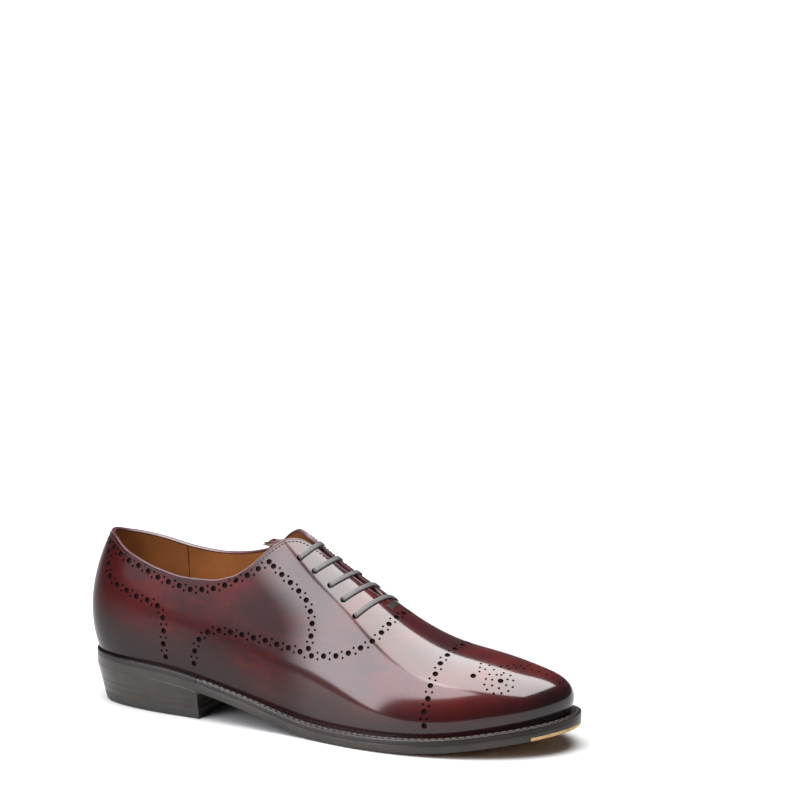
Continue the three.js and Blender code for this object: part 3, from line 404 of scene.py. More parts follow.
def tube(name, sections, closed=False, **kinds):
    """Solid carried along a path: sections is (steps, sides, 3), each a closed loop of points."""
    steps, sides = sections.shape[:2]
    quads = grid_quads(steps, sides, wrap_rows=closed, wrap_columns=True)
    faces = quads.tolist()
    if not closed:
        faces += [list(range(sides)), list(range((steps - 1) * sides, steps * sides))[::-1]]
    points = sections.reshape(-1, 3)
    return new_object(name, points, outward(points, faces), **kinds)


def many(centres, frames, ring_radii, ring_heights, sides, stretch=1.0):
    """Many small turned solids as one mesh.

    Each is a stack of rings: ring k is centre + radius_k (cos a * U * stretch + sin a * V) +
    height_k * N, where U, V, N are the rows of its frame, and both ends are closed.
    """
    angle = np.arange(sides) * 2 * math.pi / sides
    radii = np.asarray(ring_radii, float)
    heights = np.asarray(ring_heights, float)
    if radii.ndim == 1:
        radii = np.broadcast_to(radii, (len(centres), len(radii)))
    u = frames[:, None, None, 0] * (radii[:, :, None] * np.cos(angle) * stretch)[..., None]
    v = frames[:, None, None, 1] * (radii[:, :, None] * np.sin(angle))[..., None]
    n = frames[:, None, None, 2] * heights[None, :, None, None]
    points = (centres[:, None, None] + u + v + n).reshape(-1, 3)
    rings = radii.shape[1]
    per = rings * sides
    quads = grid_quads(rings, sides, wrap_columns=True)[:, ::-1]
    caps = [list(range(sides))[::-1], list(range((rings - 1) * sides, per))]
    faces = []
    for k in range(len(centres)):
        faces += (quads + k * per).tolist() + [[i + k * per for i in cap] for cap in caps]
    return points, faces


def carve(obj, cutter):
    """obj with the cutter taken away; the cut faces keep the cutter's material."""
    modifier = obj.modifiers.new("cut", "BOOLEAN")
    modifier.operation = "DIFFERENCE"
    modifier.solver = "MANIFOLD"
    modifier.material_mode = "TRANSFER"
    modifier.object = cutter
    ready = obj.evaluated_get(bpy.context.evaluated_depsgraph_get())
    mesh = bpy.data.meshes.new_from_object(ready)
    obj.modifiers.clear()
    obj.data = mesh
    bpy.data.objects.remove(cutter)
    finish_mesh(mesh)
    return obj


# ------------------------------------------------------------------ shader helper
class Sock:
    """A shader socket that can be used in sums, products and comparisons."""

    def __init__(self, tree, socket):
        self.tree, self.socket = tree, socket

    def _math(self, operation, other=None, flip=False):
        values = [other, self] if flip else [self, other]
        inputs = {i: v for i, v in enumerate(values) if v is not None}
        return self.tree.node("Math", {"operation": operation}, inputs)

    def __add__(self, other):
        return self._math("ADD", other)

    __radd__ = __add__

    def __mul__(self, other):
        return self._math("MULTIPLY", other)

    __rmul__ = __mul__

    def __sub__(self, other):
        return self._math("SUBTRACT", other)

    def __rsub__(self, other):
        return self._math("SUBTRACT", other, True)

    def __truediv__(self, other):
        return self._math("DIVIDE", other)

    def __pow__(self, other):
        return self._math("POWER", other)

    def sine(self):
        return self._math("SINE")

    def absolute(self):
        return self._math("ABSOLUTE")

    def between(self, zero, one):
        """Smooth step from 0 at `zero` to 1 at `one`."""
        return self.tree.node(
            "MapRange", {"interpolation_type": "SMOOTHSTEP"},
            {"Value": self, "From Min": zero, "From Max": one},
        )


class Finish:
    """A material under construction: nodes come from one method."""

    def __init__(self, name, **constants):
        self.material = bpy.data.materials.new(name)
        self.material.use_nodes = True
        self.nodes = self.material.node_tree.nodes
        self.links = self.material.node_tree.links
        self.shader = self.nodes["Principled BSDF"]
        for socket, value in constants.items():
            self.shader.inputs[socket.replace("_", " ")].default_value = value

    def node(self, kind, settings=None, values=None, output=0):
        """New node of a type, with its settings and the values or links of its sockets."""
        made = self.nodes.new("ShaderNode" + kind)
        for key, value in (settings or {}).items():
            if key == "stops":
                self._set_stops(made.color_ramp, value)
            else:
                setattr(made, key, value)
        for key, value in (values or {}).items():
            self.put(made.inputs[key], value)
        return Sock(self, made.outputs[output])

    @staticmethod
    def _set_stops(color_ramp, stops):
        while len(color_ramp.elements) < len(stops):
            color_ramp.elements.new(0.5)
        for element, (place, color) in zip(color_ramp.elements, stops):
            element.position, element.color = place, (*color, 1)

    def put(self, socket, value):
        if isinstance(value, Sock):
            self.links.new(value.socket, socket)
        else:
            socket.default_value = value

    def set(self, **inputs):
        for key, value in inputs.items():
            self.put(self.shader.inputs[key.replace("_", " ")], value)
        return self

    def place(self):
        """Object coordinates."""
        return self.node("TexCoord", output=3)

    def axes(self, vector):
        split = self.node("SeparateXYZ", values={0: vector})
        return [Sock(self, split.socket.node.outputs[k]) for k in range(3)]

    def noise(self, vector, scale, detail=3.0, rough=0.55, warp=0.0):
        return self.node("TexNoise", {}, {
            "Vector": vector, "Scale": scale, "Detail": detail,
            "Roughness": rough, "Distortion": warp,
        })

    def stretch(self, vector, factors, turn=(0, 0, 0)):
        return self.node("Mapping", {}, {"Vector": vector, "Scale": factors, "Rotation": turn})

    def mix(self, factor, a, b):
        """Colour between a and b."""
        made = self.nodes.new("ShaderNodeMix")
        made.data_type = "RGBA"
        self.put(made.inputs[0], factor)
        for socket, value in ((made.inputs[6], a), (made.inputs[7], b)):
            is_color = isinstance(value, tuple) and len(value) == 3
            self.put(socket, (*value, 1) if is_color else value)
        return Sock(self, made.outputs[2])

    def bump(self, height, distance, strength=1.0, under=None):
        values = {"Height": height, "Distance": distance, "Strength": strength}
        if under is not None:
            values["Normal"] = under
        return self.node("Bump", {}, values)


# ------------------------------------------------------------------ finishes
def leather_grain(made, place, fine=2400.0, depth=0.000012, under=None):
    """Pores of calf: fine cells over faint wrinkles."""
    pores = made.noise(place, fine, 2, 0.6)
    wrinkles = made.noise(place, fine / 5, 2, 0.5)
    return made.bump(pores * 0.6 + wrinkles * 0.4, depth, 1.0, under)


def patina_finish():
    """Hand-dyed burgundy calf: oxblood with redder clouds, burnished at heel and toe, and darker
    towards the bottom of the wall.
    """
    made = Finish("burgundy_patina", Specular_IOR_Level=0.06, Coat_Roughness=0.105, IOR=1.5)
    place = made.place()
    x, _, z = made.axes(place)
    foot = 0.008 + 0.0224 * x.between(0.0, -0.1) + 0.0125 * x.between(0.05, 0.15)
    height = z - foot
    clouds = made.noise(place, 17, 3, 0.55, 0.6)
    strokes = made.noise(made.stretch(place, (28, 40, 95), (0, 0.25, 0)), 1.0, 4, 0.6, 0.8)
    red = (clouds * 0.62 + strokes * 0.38).between(0.36, 0.7)
    # Darker towards the bottom of the wall, down to the welt.
    low = height.between(0.03, 0.002)
    heel = x.between(-0.085, -0.145)
    toe = x.between(0.118, 0.15)
    burnish_and_low_darkening = (low * 0.75 + heel * 0.65 + toe * 0.35 + (strokes - 0.5) * 0.45).between(0.05, 1.1)
    color = made.mix(red, (0.0125, 0.002, 0.0025), (0.052, 0.0036, 0.003))
    color = made.mix(burnish_and_low_darkening, color, (0.0052, 0.0018, 0.0021))
    waves = made.bump(made.noise(place, 85, 2, 0.5), 0.00009, 1.0)
    normal = leather_grain(made, place, under=waves)
    roughness = 0.3 + (made.noise(place, 55, 3, 0.6) - 0.5) * 0.12
    polish = (x + (z - 0.06).between(0.0, 0.04) * 0.034).between(-0.016, 0.014)
    waxed = polish * 0.85 + (1 - polish) * (0.035 + 0.42 * height.between(0.038, 0.01))
    made.set(Base_Color=color, Roughness=roughness, Normal=normal, Coat_Weight=waxed)
    return made.material


def plain_leather(name, dark, light, rough, scale=40.0, grain=0.00002, **constants):
    """Leather of two close tones with pores."""
    made = Finish(name, **constants)
    place = made.place()
    tone = made.noise(place, scale, 4, 0.6).between(0.35, 0.65)
    fine = made.noise(place, scale * 12, 2, 0.6)
    color = made.mix(tone * 0.75 + fine * 0.25, dark, light)
    made.set(Base_Color=color, Roughness=rough + (fine - 0.5) * 0.12,
             Normal=leather_grain(made, place, 1500, grain))
    return made.material


def stained_edge(name, dark, light, rough, layer=900.0, **constants):
    """Inked and waxed sole edge: faint lines along the layers of leather."""
    made = Finish(name, **constants)
    place = made.place()
    lines = made.noise(made.stretch(place, (30, 30, layer)), 1.0, 3, 0.6)
    cloud = made.noise(place, 45, 3, 0.6)
    color = made.mix(cloud.between(0.35, 0.65), dark, light)
    normal = made.bump(lines * 0.4 + cloud * 0.6, 0.00003, 1.0)
    made.set(Base_Color=color, Roughness=rough + (lines - 0.5) * 0.14, Normal=normal)
    return made.material


def lace_weave():
    """Waxed flat braid: two sets of slanted strands, from the piece's own run and width."""
    made = Finish("waxed_braid", Specular_IOR_Level=0.35)
    weave = made.node("Attribute", {"attribute_name": "weave"}, output=1)
    run, across, _ = made.axes(weave)
    one = (run * 4.6 + across * 4.2).sine()
    other = (run * 4.6 - across * 4.2).sine()
    strands = one * other
    fuzz = made.noise(made.place(), 900, 3, 0.7)
    edge = across.absolute().between(0.7, 1.5)
    color = made.mix(strands.between(-0.6, 0.9), (0.018, 0.016, 0.017), (0.105, 0.097, 0.1))
    color = made.mix(edge * 0.6, color, (0.012, 0.011, 0.011))
    made.set(Base_Color=color, Roughness=0.52 + (fuzz - 0.5) * 0.2,
             Normal=made.bump(strands * 0.6 + fuzz * 0.4, 0.00012, 0.8))
    return made.material


def twisted_thread(name, dark, light, rough=0.45):
    """Waxed sewing thread: darker and lighter plies with a fine twist."""
    made = Finish(name)
    place = made.place()
    ply = made.noise(made.stretch(place, (2600, 2600, 2600)), 1.0, 1)
    made.set(Base_Color=made.mix(ply, dark, light), Roughness=rough + (ply - 0.5) * 0.2,
             Normal=made.bump(ply, 0.00004, 0.7))
    return made.material


def brushed_metal(name, dark, light, rough, direction=(1200, 60, 1200), **constants):
    """Metal with fine brush lines and a little tarnish."""
    made = Finish(name, Metallic=1.0, **constants)
    place = made.place()
    lines = made.noise(made.stretch(place, direction), 1.0, 3, 0.6)
    tarnish = made.noise(place, 160, 4, 0.65).between(0.4, 0.75)
    made.set(Base_Color=made.mix(tarnish, light, dark),
             Roughness=rough + lines * 0.15 + tarnish * 0.08,
             Normal=made.bump(lines, 0.00002, 0.6))
    return made.material


def cork_grain():
    """Cork filler: light and dark crumbs pressed together."""
    made = Finish("cork_crumb")
    place = made.place()
    crumb = made.node("TexVoronoi", {}, {"Vector": place, "Scale": 520.0})
    color = made.mix(crumb.between(0.1, 0.7), (0.12, 0.05, 0.02), (0.36, 0.2, 0.09))
    made.set(Base_Color=color, Roughness=0.9, Normal=made.bump(crumb, 0.0002, 0.6))
    return made.material


def sole_leather():
    """Underside: natural bend leather ahead, stained black under the waist and at the rim."""
    made = Finish("bend_leather")
    place = made.place()
    x, y, _ = made.axes(place)
    fibre = made.noise(made.stretch(place, (60, 420, 60)), 1.0, 4, 0.65)
    cloud = made.noise(place, 30, 3, 0.6)
    tan = made.mix(cloud.between(0.3, 0.7) * 0.7 + fibre * 0.3,
                   (0.4, 0.19, 0.06), (0.56, 0.3, 0.11))
    curve = x - (y + 0.002) * (y + 0.002) * 14
    waist = curve.between(0.0005, -0.0015)
    color = made.mix(waist, tan, (0.012, 0.01, 0.0095))
    made.set(Base_Color=color, Roughness=0.5 - waist * 0.2 + (fibre - 0.5) * 0.1,
             Normal=made.bump(fibre * 0.5 + cloud * 0.5, 0.00007, 0.8))
    return made.material


def rubber():
    """Heel rubber with fine moulded stipple."""
    made = Finish("heel_rubber")
    place = made.place()
    stipple = made.node("TexVoronoi", {}, {"Vector": place, "Scale": 1300.0})
    tone = made.noise(place, 60, 3)
    made.set(Base_Color=made.mix(tone, (0.009, 0.008, 0.0075), (0.017, 0.0155, 0.0145)),
             Roughness=0.42 + tone * 0.2, Normal=made.bump(stipple, 0.00003, 0.5))
    return made.material


patina = patina_finish()
# Near-black and matt, with no reflection: painted shade for the depth inside the punched holes and
# the lining's eyelet holes.
punched = plain_leather(
    "punched_hole_painted_shade", (0.006, 0.0035, 0.0035), (0.012, 0.006, 0.006), 0.9, Specular_IOR_Level=0.0)
lining_finish = plain_leather("tan_lining", (0.165, 0.056, 0.012), (0.235, 0.086, 0.021), 0.5, 26)
sock_finish = plain_leather("tan_sock", (0.175, 0.062, 0.014), (0.245, 0.094, 0.024), 0.46, 30)
tongue_lining_finish = plain_leather(
    "brown_tongue_lining", (0.03, 0.012, 0.008), (0.055, 0.022, 0.013), 0.5)
bead_finish = plain_leather(
    "burgundy_bead", (0.022, 0.007, 0.009), (0.05, 0.015, 0.017), 0.33, 120)
board_finish = plain_leather(
    "stiffener_board", (0.2, 0.13, 0.07), (0.34, 0.24, 0.14), 0.85, 90, 0.00005)
insole_finish = plain_leather("insole_leather", (0.4, 0.22, 0.1), (0.56, 0.33, 0.16), 0.6, 45)
edge_finish = stained_edge(
    "stained_edge", (0.012, 0.0088, 0.007), (0.02, 0.015, 0.0115), 0.3, Specular_IOR_Level=0.42)
welt_finish = stained_edge(
    "stained_welt", (0.005, 0.003, 0.003), (0.011, 0.006, 0.006), 0.4, Specular_IOR_Level=0.35)
rubber_finish = rubber()
sole_finish = sole_leather()
cork_finish = cork_grain()
thread_finish = twisted_thread(
    "waxed_dark_thread", (0.004, 0.0022, 0.0022), (0.012, 0.006, 0.006), 0.8)
welt_thread_finish = twisted_thread(
    "welt_thread", (0.02, 0.015, 0.013), (0.075, 0.057, 0.05), 0.55)
lace_finish = lace_weave()
aglet_finish = brushed_metal("gunmetal_tip", (0.05, 0.05, 0.05), (0.16, 0.155, 0.15), 0.25)
brass_finish = brushed_metal("eyelet_brass", (0.3, 0.2, 0.08), (0.72, 0.5, 0.22), 0.25)
toe_brass_finish = brushed_metal(
    "toe_brass", (0.3, 0.19, 0.085), (0.42, 0.28, 0.14), 0.34, (60, 900, 60))
# Brass coloured dark: painted shade for the eyelets sunk inside their holes.
eyelet_shade_finish = brushed_metal("eyelet_brass_painted_shade", (0.02, 0.016, 0.012), (0.05, 0.038, 0.026), 0.5)
steel_finish = brushed_metal("screw_steel", (0.32, 0.31, 0.3), (0.6, 0.6, 0.6), 0.3)


# ------------------------------------------------------------------ punched decoration
# Lines of punching as (station, share) knots on the outer side; the inner side mirrors them.
TOP_LINE = [
    (0, 0.552), (0.6, 0.55), (1.2, 0.542), (1.74, 0.522), (2.12, 0.498), (2.38, 0.48),
    (2.66, 0.465), (2.86, 0.445), (3.08, 0.428), (3.28, 0.418), (3.5, 0.41), (3.68, 0.405),
    (3.88, 0.415), (4.1, 0.43), (4.28, 0.452), (4.44, 0.482), (4.66, 0.525), (4.86, 0.58),
    (5.02, 0.635),
]
FACING_LINE = [
    (5.12, 0.629), (5.32, 0.62), (5.52, 0.616), (5.7, 0.61), (5.86, 0.598), (5.98, 0.565),
    (6.06, 0.52), (6.09, 0.47), (6.09, 0.42), (6.08, 0.39),
]
QUARTER_LINE = [
    (3.84, 0.07), (3.86, 0.138), (3.94, 0.198), (4.14, 0.248), (4.38, 0.268), (4.62, 0.28),
    (4.88, 0.29), (5.12, 0.305), (5.36, 0.32), (5.6, 0.332), (5.84, 0.352), (6.08, 0.358),
    (6.34, 0.385), (6.62, 0.42), (6.86, 0.468), (7.06, 0.53), (7.22, 0.598), (7.32, 0.675),
    (7.38, 0.755), (7.42, 0.842), (7.46, 0.918), (7.48, 0.985),
]
COUNTER_LINE = [
    (1.3, 0.5), (1.5, 0.462), (1.62, 0.408), (1.88, 0.37), (2.16, 0.35), (2.4, 0.338),
    (2.64, 0.322), (2.9, 0.315), (3.1, 0.295), (3.22, 0.242), (3.24, 0.185), (3.24, 0.122),
    (3.28, 0.058),
]
CAP_LINE = [
    (8.58, 0.11), (8.56, 0.228), (8.6, 0.335), (8.6, 0.458), (8.64, 0.565), (8.66, 0.652),
    (8.68, 0.722), (8.74, 0.798), (8.78, 0.87), (8.82, 0.942), (8.84, 0.985),
]
TOE_ROWS = [
    [(10.33, 0.763), (10.61, 0.8), (10.98, 0.813), (11.36, 0.803), (11.65, 0.747), (11.73, 0.667),
     (11.85, 0.567), (11.87, 0.463), (11.9, 0.36)],
    [(10.06, 0.777), (10.31, 0.823), (10.62, 0.867), (11.05, 0.887), (11.5, 0.893)],
    [(9.52, 0.765), (9.55, 0.66)],
    [(9.67, 0.7), (9.73, 0.763), (9.83, 0.737), (9.93, 0.693), (9.98, 0.65)],
]
TOE_BIGS = [(9.44, 0.602), (10.1, 0.575)]
# Two rings of dots round the flower's middle.
TOE_DOTS = [
    (10.36, 0.66), (10.44, 0.587), (10.42, 0.497), (10.31, 0.447), (10.15, 0.423), (9.97, 0.42),
    (9.81, 0.463), (9.73, 0.517), (9.74, 0.583), (9.8, 0.643), (10.16, 0.687), (9.89, 0.58),
    (9.91, 0.513), (10.08, 0.483), (10.25, 0.523), (10.28, 0.6), (10.1, 0.655),
]
BIG_PITCH = 7.5
BIG_RADIUS = 1.6
SMALL_RADIUS = 0.68
PAIR_HALF = 1.8  # small holes lie this far each side of their line
PUNCH_DEPTH = 1.0


def walk(knots, pitch, inner=False):
    """Places along a curve through (station, share) knots: (points, normals, directions, s, t).

    They are equally far apart, about half a pitch, with an odd number in all.
    """
    s, t = np.array(knots, float).T
    u = np.linspace(0, len(s) - 1, 40 * len(s))
    s, t = spline(s, False)(u), spline(t, False)(u)
    if inner:
        t = t + (inner_edge(s) - outer_edge(s)) * ramp(s, 5.0, 4.5) * (knots is TOP_LINE)
        s = LOOP - s
    points = last_point(s, t)
    run = np.concatenate([[0], np.cumsum(np.linalg.norm(np.diff(points, axis=0), axis=1))])
    at = np.linspace(0, run[-1], 2 * max(int(round(run[-1] / pitch)), 1) + 1)
    s, t = np.interp(at, run, s), np.interp(at, run, t)
    near = np.stack([np.interp(at + 0.2, run, points[:, k]) for k in range(3)], 1)
    far = np.stack([np.interp(at - 0.2, run, points[:, k]) for k in range(3)], 1)
    return last_point(s, t), last_normal(s, t), unit(near - far), s, t


def project(targets, s, t):
    """Places of the last nearest to target points, from a first guess, by Newton's steps in
    (station, share): (points, outward normals)."""
    for _ in range(5):
        point = last_point(s, t)
        step = 1e-3
        along = (last_point(s + step, t) - last_point(s - step, t)) / (2 * step)
        up = (last_point(s, t) - last_point(s, t - step)) / step
        off = targets - point
        aa, ab, bb = (along * along).sum(1), (along * up).sum(1), (up * up).sum(1)
        ao, bo = (along * off).sum(1), (up * off).sum(1)
        span = aa * bb - ab * ab
        s = s + np.clip((bb * ao - ab * bo) / span, -0.3, 0.3)
        t = np.clip(t + np.clip((aa * bo - ab * ao) / span, -0.1, 0.1), 0.02, 1)
    return last_point(s, t), last_normal(s, t)


def punching():
    """All holes: (points, normals, radii). Big holes lead; a small one too close is left out."""
    big, small = [], []
    for inner in (False, True):
        for line in (TOP_LINE, FACING_LINE, QUARTER_LINE, COUNTER_LINE, CAP_LINE):
            point, normal, along, s, t = walk(line, BIG_PITCH, inner)
            big.append((point[::2], normal[::2]))
            across = np.cross(normal, along)
            for side in (-PAIR_HALF, PAIR_HALF):
                targets = (point + side * across)[1::2]
                small.append(project(targets, s[1::2], t[1::2]))
        for row in TOE_ROWS:
            point, normal = walk(row, 4.3, inner)[:2]
            small.append((point[::2], normal[::2]))
        for places, kind in ((TOE_BIGS, big), (TOE_DOTS, small)):
            s, t = np.array(places, float).T
            s = LOOP - s if inner else s
            kind.append((last_point(s, t), last_normal(s, t)))
    points = np.concatenate([p for p, _ in big + small])
    normals = np.concatenate([n for _, n in big + small])
    bigs = sum(len(p) for p, _ in big)
    radii = np.full(len(points), SMALL_RADIUS)
    radii[:bigs] = BIG_RADIUS
    apart = np.linalg.norm(points[:, None] - points[None], axis=2)
    close = np.tril(apart < radii[:, None] + radii[None] + 0.4, -1)
    kept = np.ones(len(points), bool)
    for k in range(1, len(points)):
        kept[k] = not (close[k] & kept).any()
    return points[kept], normals[kept], radii[kept]


def frames_of(normals, along=None):
    """Right-handed frames (U, V, N) that stand on surfaces."""
    along = np.broadcast_to([1.0, 0.0, 0.0], normals.shape) if along is None else along
    v = unit(np.cross(normals, along))
    return np.stack([np.cross(v, normals), v, normals], 1)


def eyelet_places():
    """Eyelets' points, outward normals and (station, share), outer side first, top to bottom."""
    s = [s for s, _ in EYELETS] + [
        LOOP - s - shift for (s, _), shift in zip(EYELETS, INNER_EYELET_SHIFT)]
    t = [t for _, t in EYELETS] * 2
    return last_point(s, t), last_normal(s, t), list(zip(s, t))


def punch_cutters():
    """One mesh of blind punches with a flared mouth, and the eyelets' through holes."""
    points, normals, radii = punching()
    faces_all, points_all, start = [], [], 0
    for big in (True, False):
        chosen = (radii > 1) == big
        rings = np.array([0.86, 1, 1, 1.04, 1.2] if big else [0.86, 1, 1, 1.06, 1.3])
        heights = [-PUNCH_DEPTH, -0.82, -0.2, 0.0, 0.7]
        made, faces = many(points[chosen], frames_of(normals[chosen]),
                           radii[chosen][:, None] * rings, heights, 20 if big else 10)
        points_all.append(made)
        faces_all += [[i + start for i in f] for f in faces]
        start += len(made)
    eyelets, normals, _ = eyelet_places()
    made, faces = many(eyelets, frames_of(normals),
                       [1.9, 1.9, 1.95, 2.5], [-4, -0.3, 0.0, 0.7], 20)
    points_all.append(made)
    faces_all += [[i + start for i in f] for f in faces]
    return new_object("cutters", np.concatenate(points_all), faces_all)


# ------------------------------------------------------------------ leather layers
def make_shell(name, stations, rows, outer, inner, inner_rows=None):
    """Layer of leather between two depths below the last.

    Each column runs up the outside and down the inside; ahead of the throat the two sides of the
    layer meet along the ridge, so no edge is made there. A whole loop of stations is closed.
    """
    whole = len(stations) > 2 and abs(stations[-1] - stations[0] - LOOP) < 1e-9
    stations = stations[:-1] if whole else stations
    inner_rows = rows if inner_rows is None else inner_rows
    up = layer_points(stations, rows, outer(stations[:, None], rows[None, :]))
    down = layer_points(stations, inner_rows[::-1],
                        inner(stations[:, None], inner_rows[::-1][None, :]))
    grid = np.concatenate([up, down], 1)
    count, sides = grid.shape[:2]
    quads = grid_quads(count, sides, wrap_rows=whole, wrap_columns=True)
    column, row = np.divmod(quads[:, 0], sides)
    ahead = np.minimum(np.mod(stations, LOOP), LOOP - np.mod(stations, LOOP)) > THROAT - 1e-6
    rim = row == len(rows) - 1
    closed = ahead[column] & ahead[(column + 1) % count]
    reaches = rows[-1] > 0.999
    quads = quads[~(rim & closed & reaches)]
    points, faces, _ = weld(grid, quads)
    if not whole:
        points, faces = cap_ends(points, faces, grid)
    return new_object(name, points, outward(points, faces))


def cap_ends(points, faces, grid):
    """Closes the first and last column of a layer with faces between its outside and inside."""
    keys = {tuple(k): i for i, k in enumerate(np.round(points / 1e-3).astype(np.int64).tolist())}
    sides = grid.shape[1]
    for column, order in ((grid[0], 1), (grid[-1], -1)):
        loop = [keys[tuple(k)] for k in np.round(column / 1e-3).astype(np.int64).tolist()]
        for j in range(sides // 2 - 1):
            strip = [loop[j], loop[j + 1], loop[sides - 2 - j], loop[sides - 1 - j]][::order]
            kept = [v for k, v in enumerate(strip) if v != strip[k - 1]]
            if len(set(kept)) > 2:
                faces.append(kept)
    return points, faces


def columns(start, end, step):
    """Evenly spaced stations from start to end, about a step apart."""
    return np.linspace(start, end, int(round((end - start) / step)) + 1)


def wall_rows(count, top=1.0):
    """Rows of a layer: the margin's two and evenly spaced ones up the wall."""
    return np.concatenate([[MARGIN_ROW, -1.5, CORNER_ROW, -0.0], np.linspace(0, top, count)[1:]])


def lining_outer(s, v):
    """Depth of the lining's outer face at a place on the last."""
    return STIFFENER_DEPTH + LINING_SWELL * swell(s, v)


def lining_inner(s, v):
    """Depth of the lining's inner face at a place on the last."""
    return lining_outer(s, v) + LINING_THICKNESS


def constant(depth):
    """Layer depth that is the same everywhere."""
    return lambda s, v: np.full(np.broadcast(s, v).shape, depth)


def make_upper():
    """The wholecut: one shell round the whole last, punched and pierced for the lace."""
    upper = make_shell("upper_leather", columns(0, LOOP, 0.04), wall_rows(62), constant(0.0),
                       constant(UPPER_THICKNESS), wall_rows(22))
    cutters = punch_cutters()
    # The holes' cut faces take that near-black finish as painted shade.
    for obj, finish in ((upper, patina), (cutters, punched)):
        obj.data.materials.append(finish)
    return carve(upper, cutters)


LINING_SEAM = 0.01
LININGS = {
    "heel_lining": (-2.8, 2.8),
    "quarter_lining_lateral": (2.8, 6.5),
    "quarter_lining_medial": (LOOP - 6.5, LOOP - 2.8),
    "vamp_lining": (6.5, LOOP - 6.5),
}


def make_lining(name, start, end):
    """Lining shell, pierced where eyelets pass."""
    lining = make_shell(name + "_leather", columns(start + LINING_SEAM, end - LINING_SEAM, 0.1),
                        wall_rows(26), lining_outer, lining_inner)
    lining.data.materials.append(lining_finish)
    if name == "heel_lining":
        return lining
    points, normals, _ = eyelet_places()
    made, faces = many(points, frames_of(normals), [2.5, 2.5], [-6, 2], 16)
    cutter = new_object("barrels", made, faces)
    # The lining's eyelet holes are lined with the same painted shade.
    cutter.data.materials.append(punched)
    return carve(lining, cutter)


def make_stiffener(name, start, end, top):
    """Stiffener or puff, skived away where the lining's swell runs out."""
    return make_shell(name, columns(start, end, 0.1), wall_rows(20, top),
                      constant(STIFFENER_DEPTH),
                      lambda s, v: STIFFENER_DEPTH + STIFFENER_THICKNESS * swell(s, v) + 0.02)


def opening_path(step=0.6):
    """Evenly spaced run of the opening's edge: points, outward normals, directions away from
    the leather and along the edge, and stations; it goes from the throat along the inner side,
    round the heel and back."""
    s = np.linspace(-THROAT, THROAT, 4001)
    points = last_point(s, edge_share(s))
    run = np.concatenate([[0], np.cumsum(np.linalg.norm(np.diff(points, axis=0), axis=1))])
    at = np.linspace(0, run[-1], int(run[-1] / step) + 1)[:-1]
    s = np.interp(at, run, s)
    points, normals = last_point(s, edge_share(s)), last_normal(s, edge_share(s))
    along = unit(np.roll(points, -1, axis=0) - np.roll(points, 1, axis=0))
    away = np.cross(normals, along)
    smooth = sum(np.roll(away, k, axis=0) for k in range(-2, 3))
    return points, unit(normals), unit(smooth), along, s


def make_binding():
    """Folded edge bead: a rounded section carried round the opening."""
    points, normals, away, _, _ = opening_path()
    angle = np.linspace(0, 2 * math.pi, 14, endpoint=False)
    squared = np.sign(np.cos(angle)) * np.abs(np.cos(angle)) ** 0.7
    raised = np.sign(np.sin(angle)) * np.abs(np.sin(angle)) ** 0.7
    depth = LINING_INNER / 2 + squared * (LINING_INNER / 2 + 0.12)
    height = 0.5 + raised * 0.62
    sections = (points[:, None] + away[:, None] * height[:, None]
                - normals[:, None] * depth[:, None])
    bead = tube("topline_bead", sections, closed=True)
    bead.data.materials.append(bead_finish)
    return bead


# ------------------------------------------------------------------ stitches
def make_stitches(name, points, normals, along, length, radius, sink=0.3, slant=0.0):
    """Short threads lying on a surface: each a capsule of five rings, thickest at its middle."""
    across = np.cross(normals, along)
    along = unit(along + slant * across)
    side = np.cross(normals, along)
    frames = np.stack([side, normals, along], 1)
    frames[:, 1] = np.cross(along, side)
    share = np.array([0.25, 0.8, 1, 0.8, 0.25])
    heights = np.array([-0.5, -0.38, 0, 0.38, 0.5]) * length
    made, faces = many(points + normals * radius * (1 - 2 * sink), frames,
                       share * radius, heights, 6)
    obj = new_object(name, made, faces)
    obj.data.materials.append(thread_finish)
    return obj


def edge_stitching():
    """Row of stitches just inside the opening's edge."""
    points, normals, away, along, s = opening_path(2.3)
    span = slice(3, -3)
    targets = points[span] - away[span] * 1.35
    low, normals = project(targets, s[span], edge_share(s[span]) - 0.03)
    along = unit(np.gradient(low, axis=0))
    return make_stitches("edge_stitching", low, normals, along, 1.45, 0.32, slant=0.12)


def make_bartack():
    """Threads over the throat: close-set long ones, with short ones lashed across both ends."""
    threads = []
    for shift in (-0.052, -0.031, -0.01, 0.011, 0.032):
        threads.append((np.linspace(-1, 1, 15), shift, 0.0))
    for end in (-0.98, -0.9, 0.9, 0.98):
        threads.append((np.full(15, end), 0.0, 0.075))
    grid = []
    for q, shift, reach in threads:
        from_heel = THROAT + 0.05 + shift + reach * np.linspace(-1, 1, 15)
        s = np.where(q <= 0, from_heel, LOOP - from_heel)
        t = 1 - 0.075 * np.abs(q)
        centre, normal = last_point(s, t), last_normal(s, t)
        along = unit(np.gradient(centre, axis=0))
        side = np.cross(normal, along)
        angle = np.arange(8) * math.pi / 4
        lift = 0.12 + 0.14 * (reach > 0) - 0.3 * np.abs(np.linspace(-1, 1, 15)) ** 8
        ring = np.cos(angle)[:, None] * side[:, None] + np.sin(angle)[:, None] * normal[:, None]
        grid.append(centre[:, None] + normal[:, None] * lift[:, None, None] + 0.28 * ring)
    sides, steps = 8, 15
    faces = []
    for k in range(len(grid)):
        base = k * steps * sides
        faces += (grid_quads(steps, sides, wrap_columns=True) + base).tolist()
        end = base + (steps - 1) * sides
        faces += [list(range(base, base + sides)), list(range(end, end + sides))[::-1]]
    points = np.concatenate(grid).reshape(-1, 3)
    obj = new_object("throat_bartack_threads", points, outward(points, faces))
    obj.data.materials.append(thread_finish)
    return obj


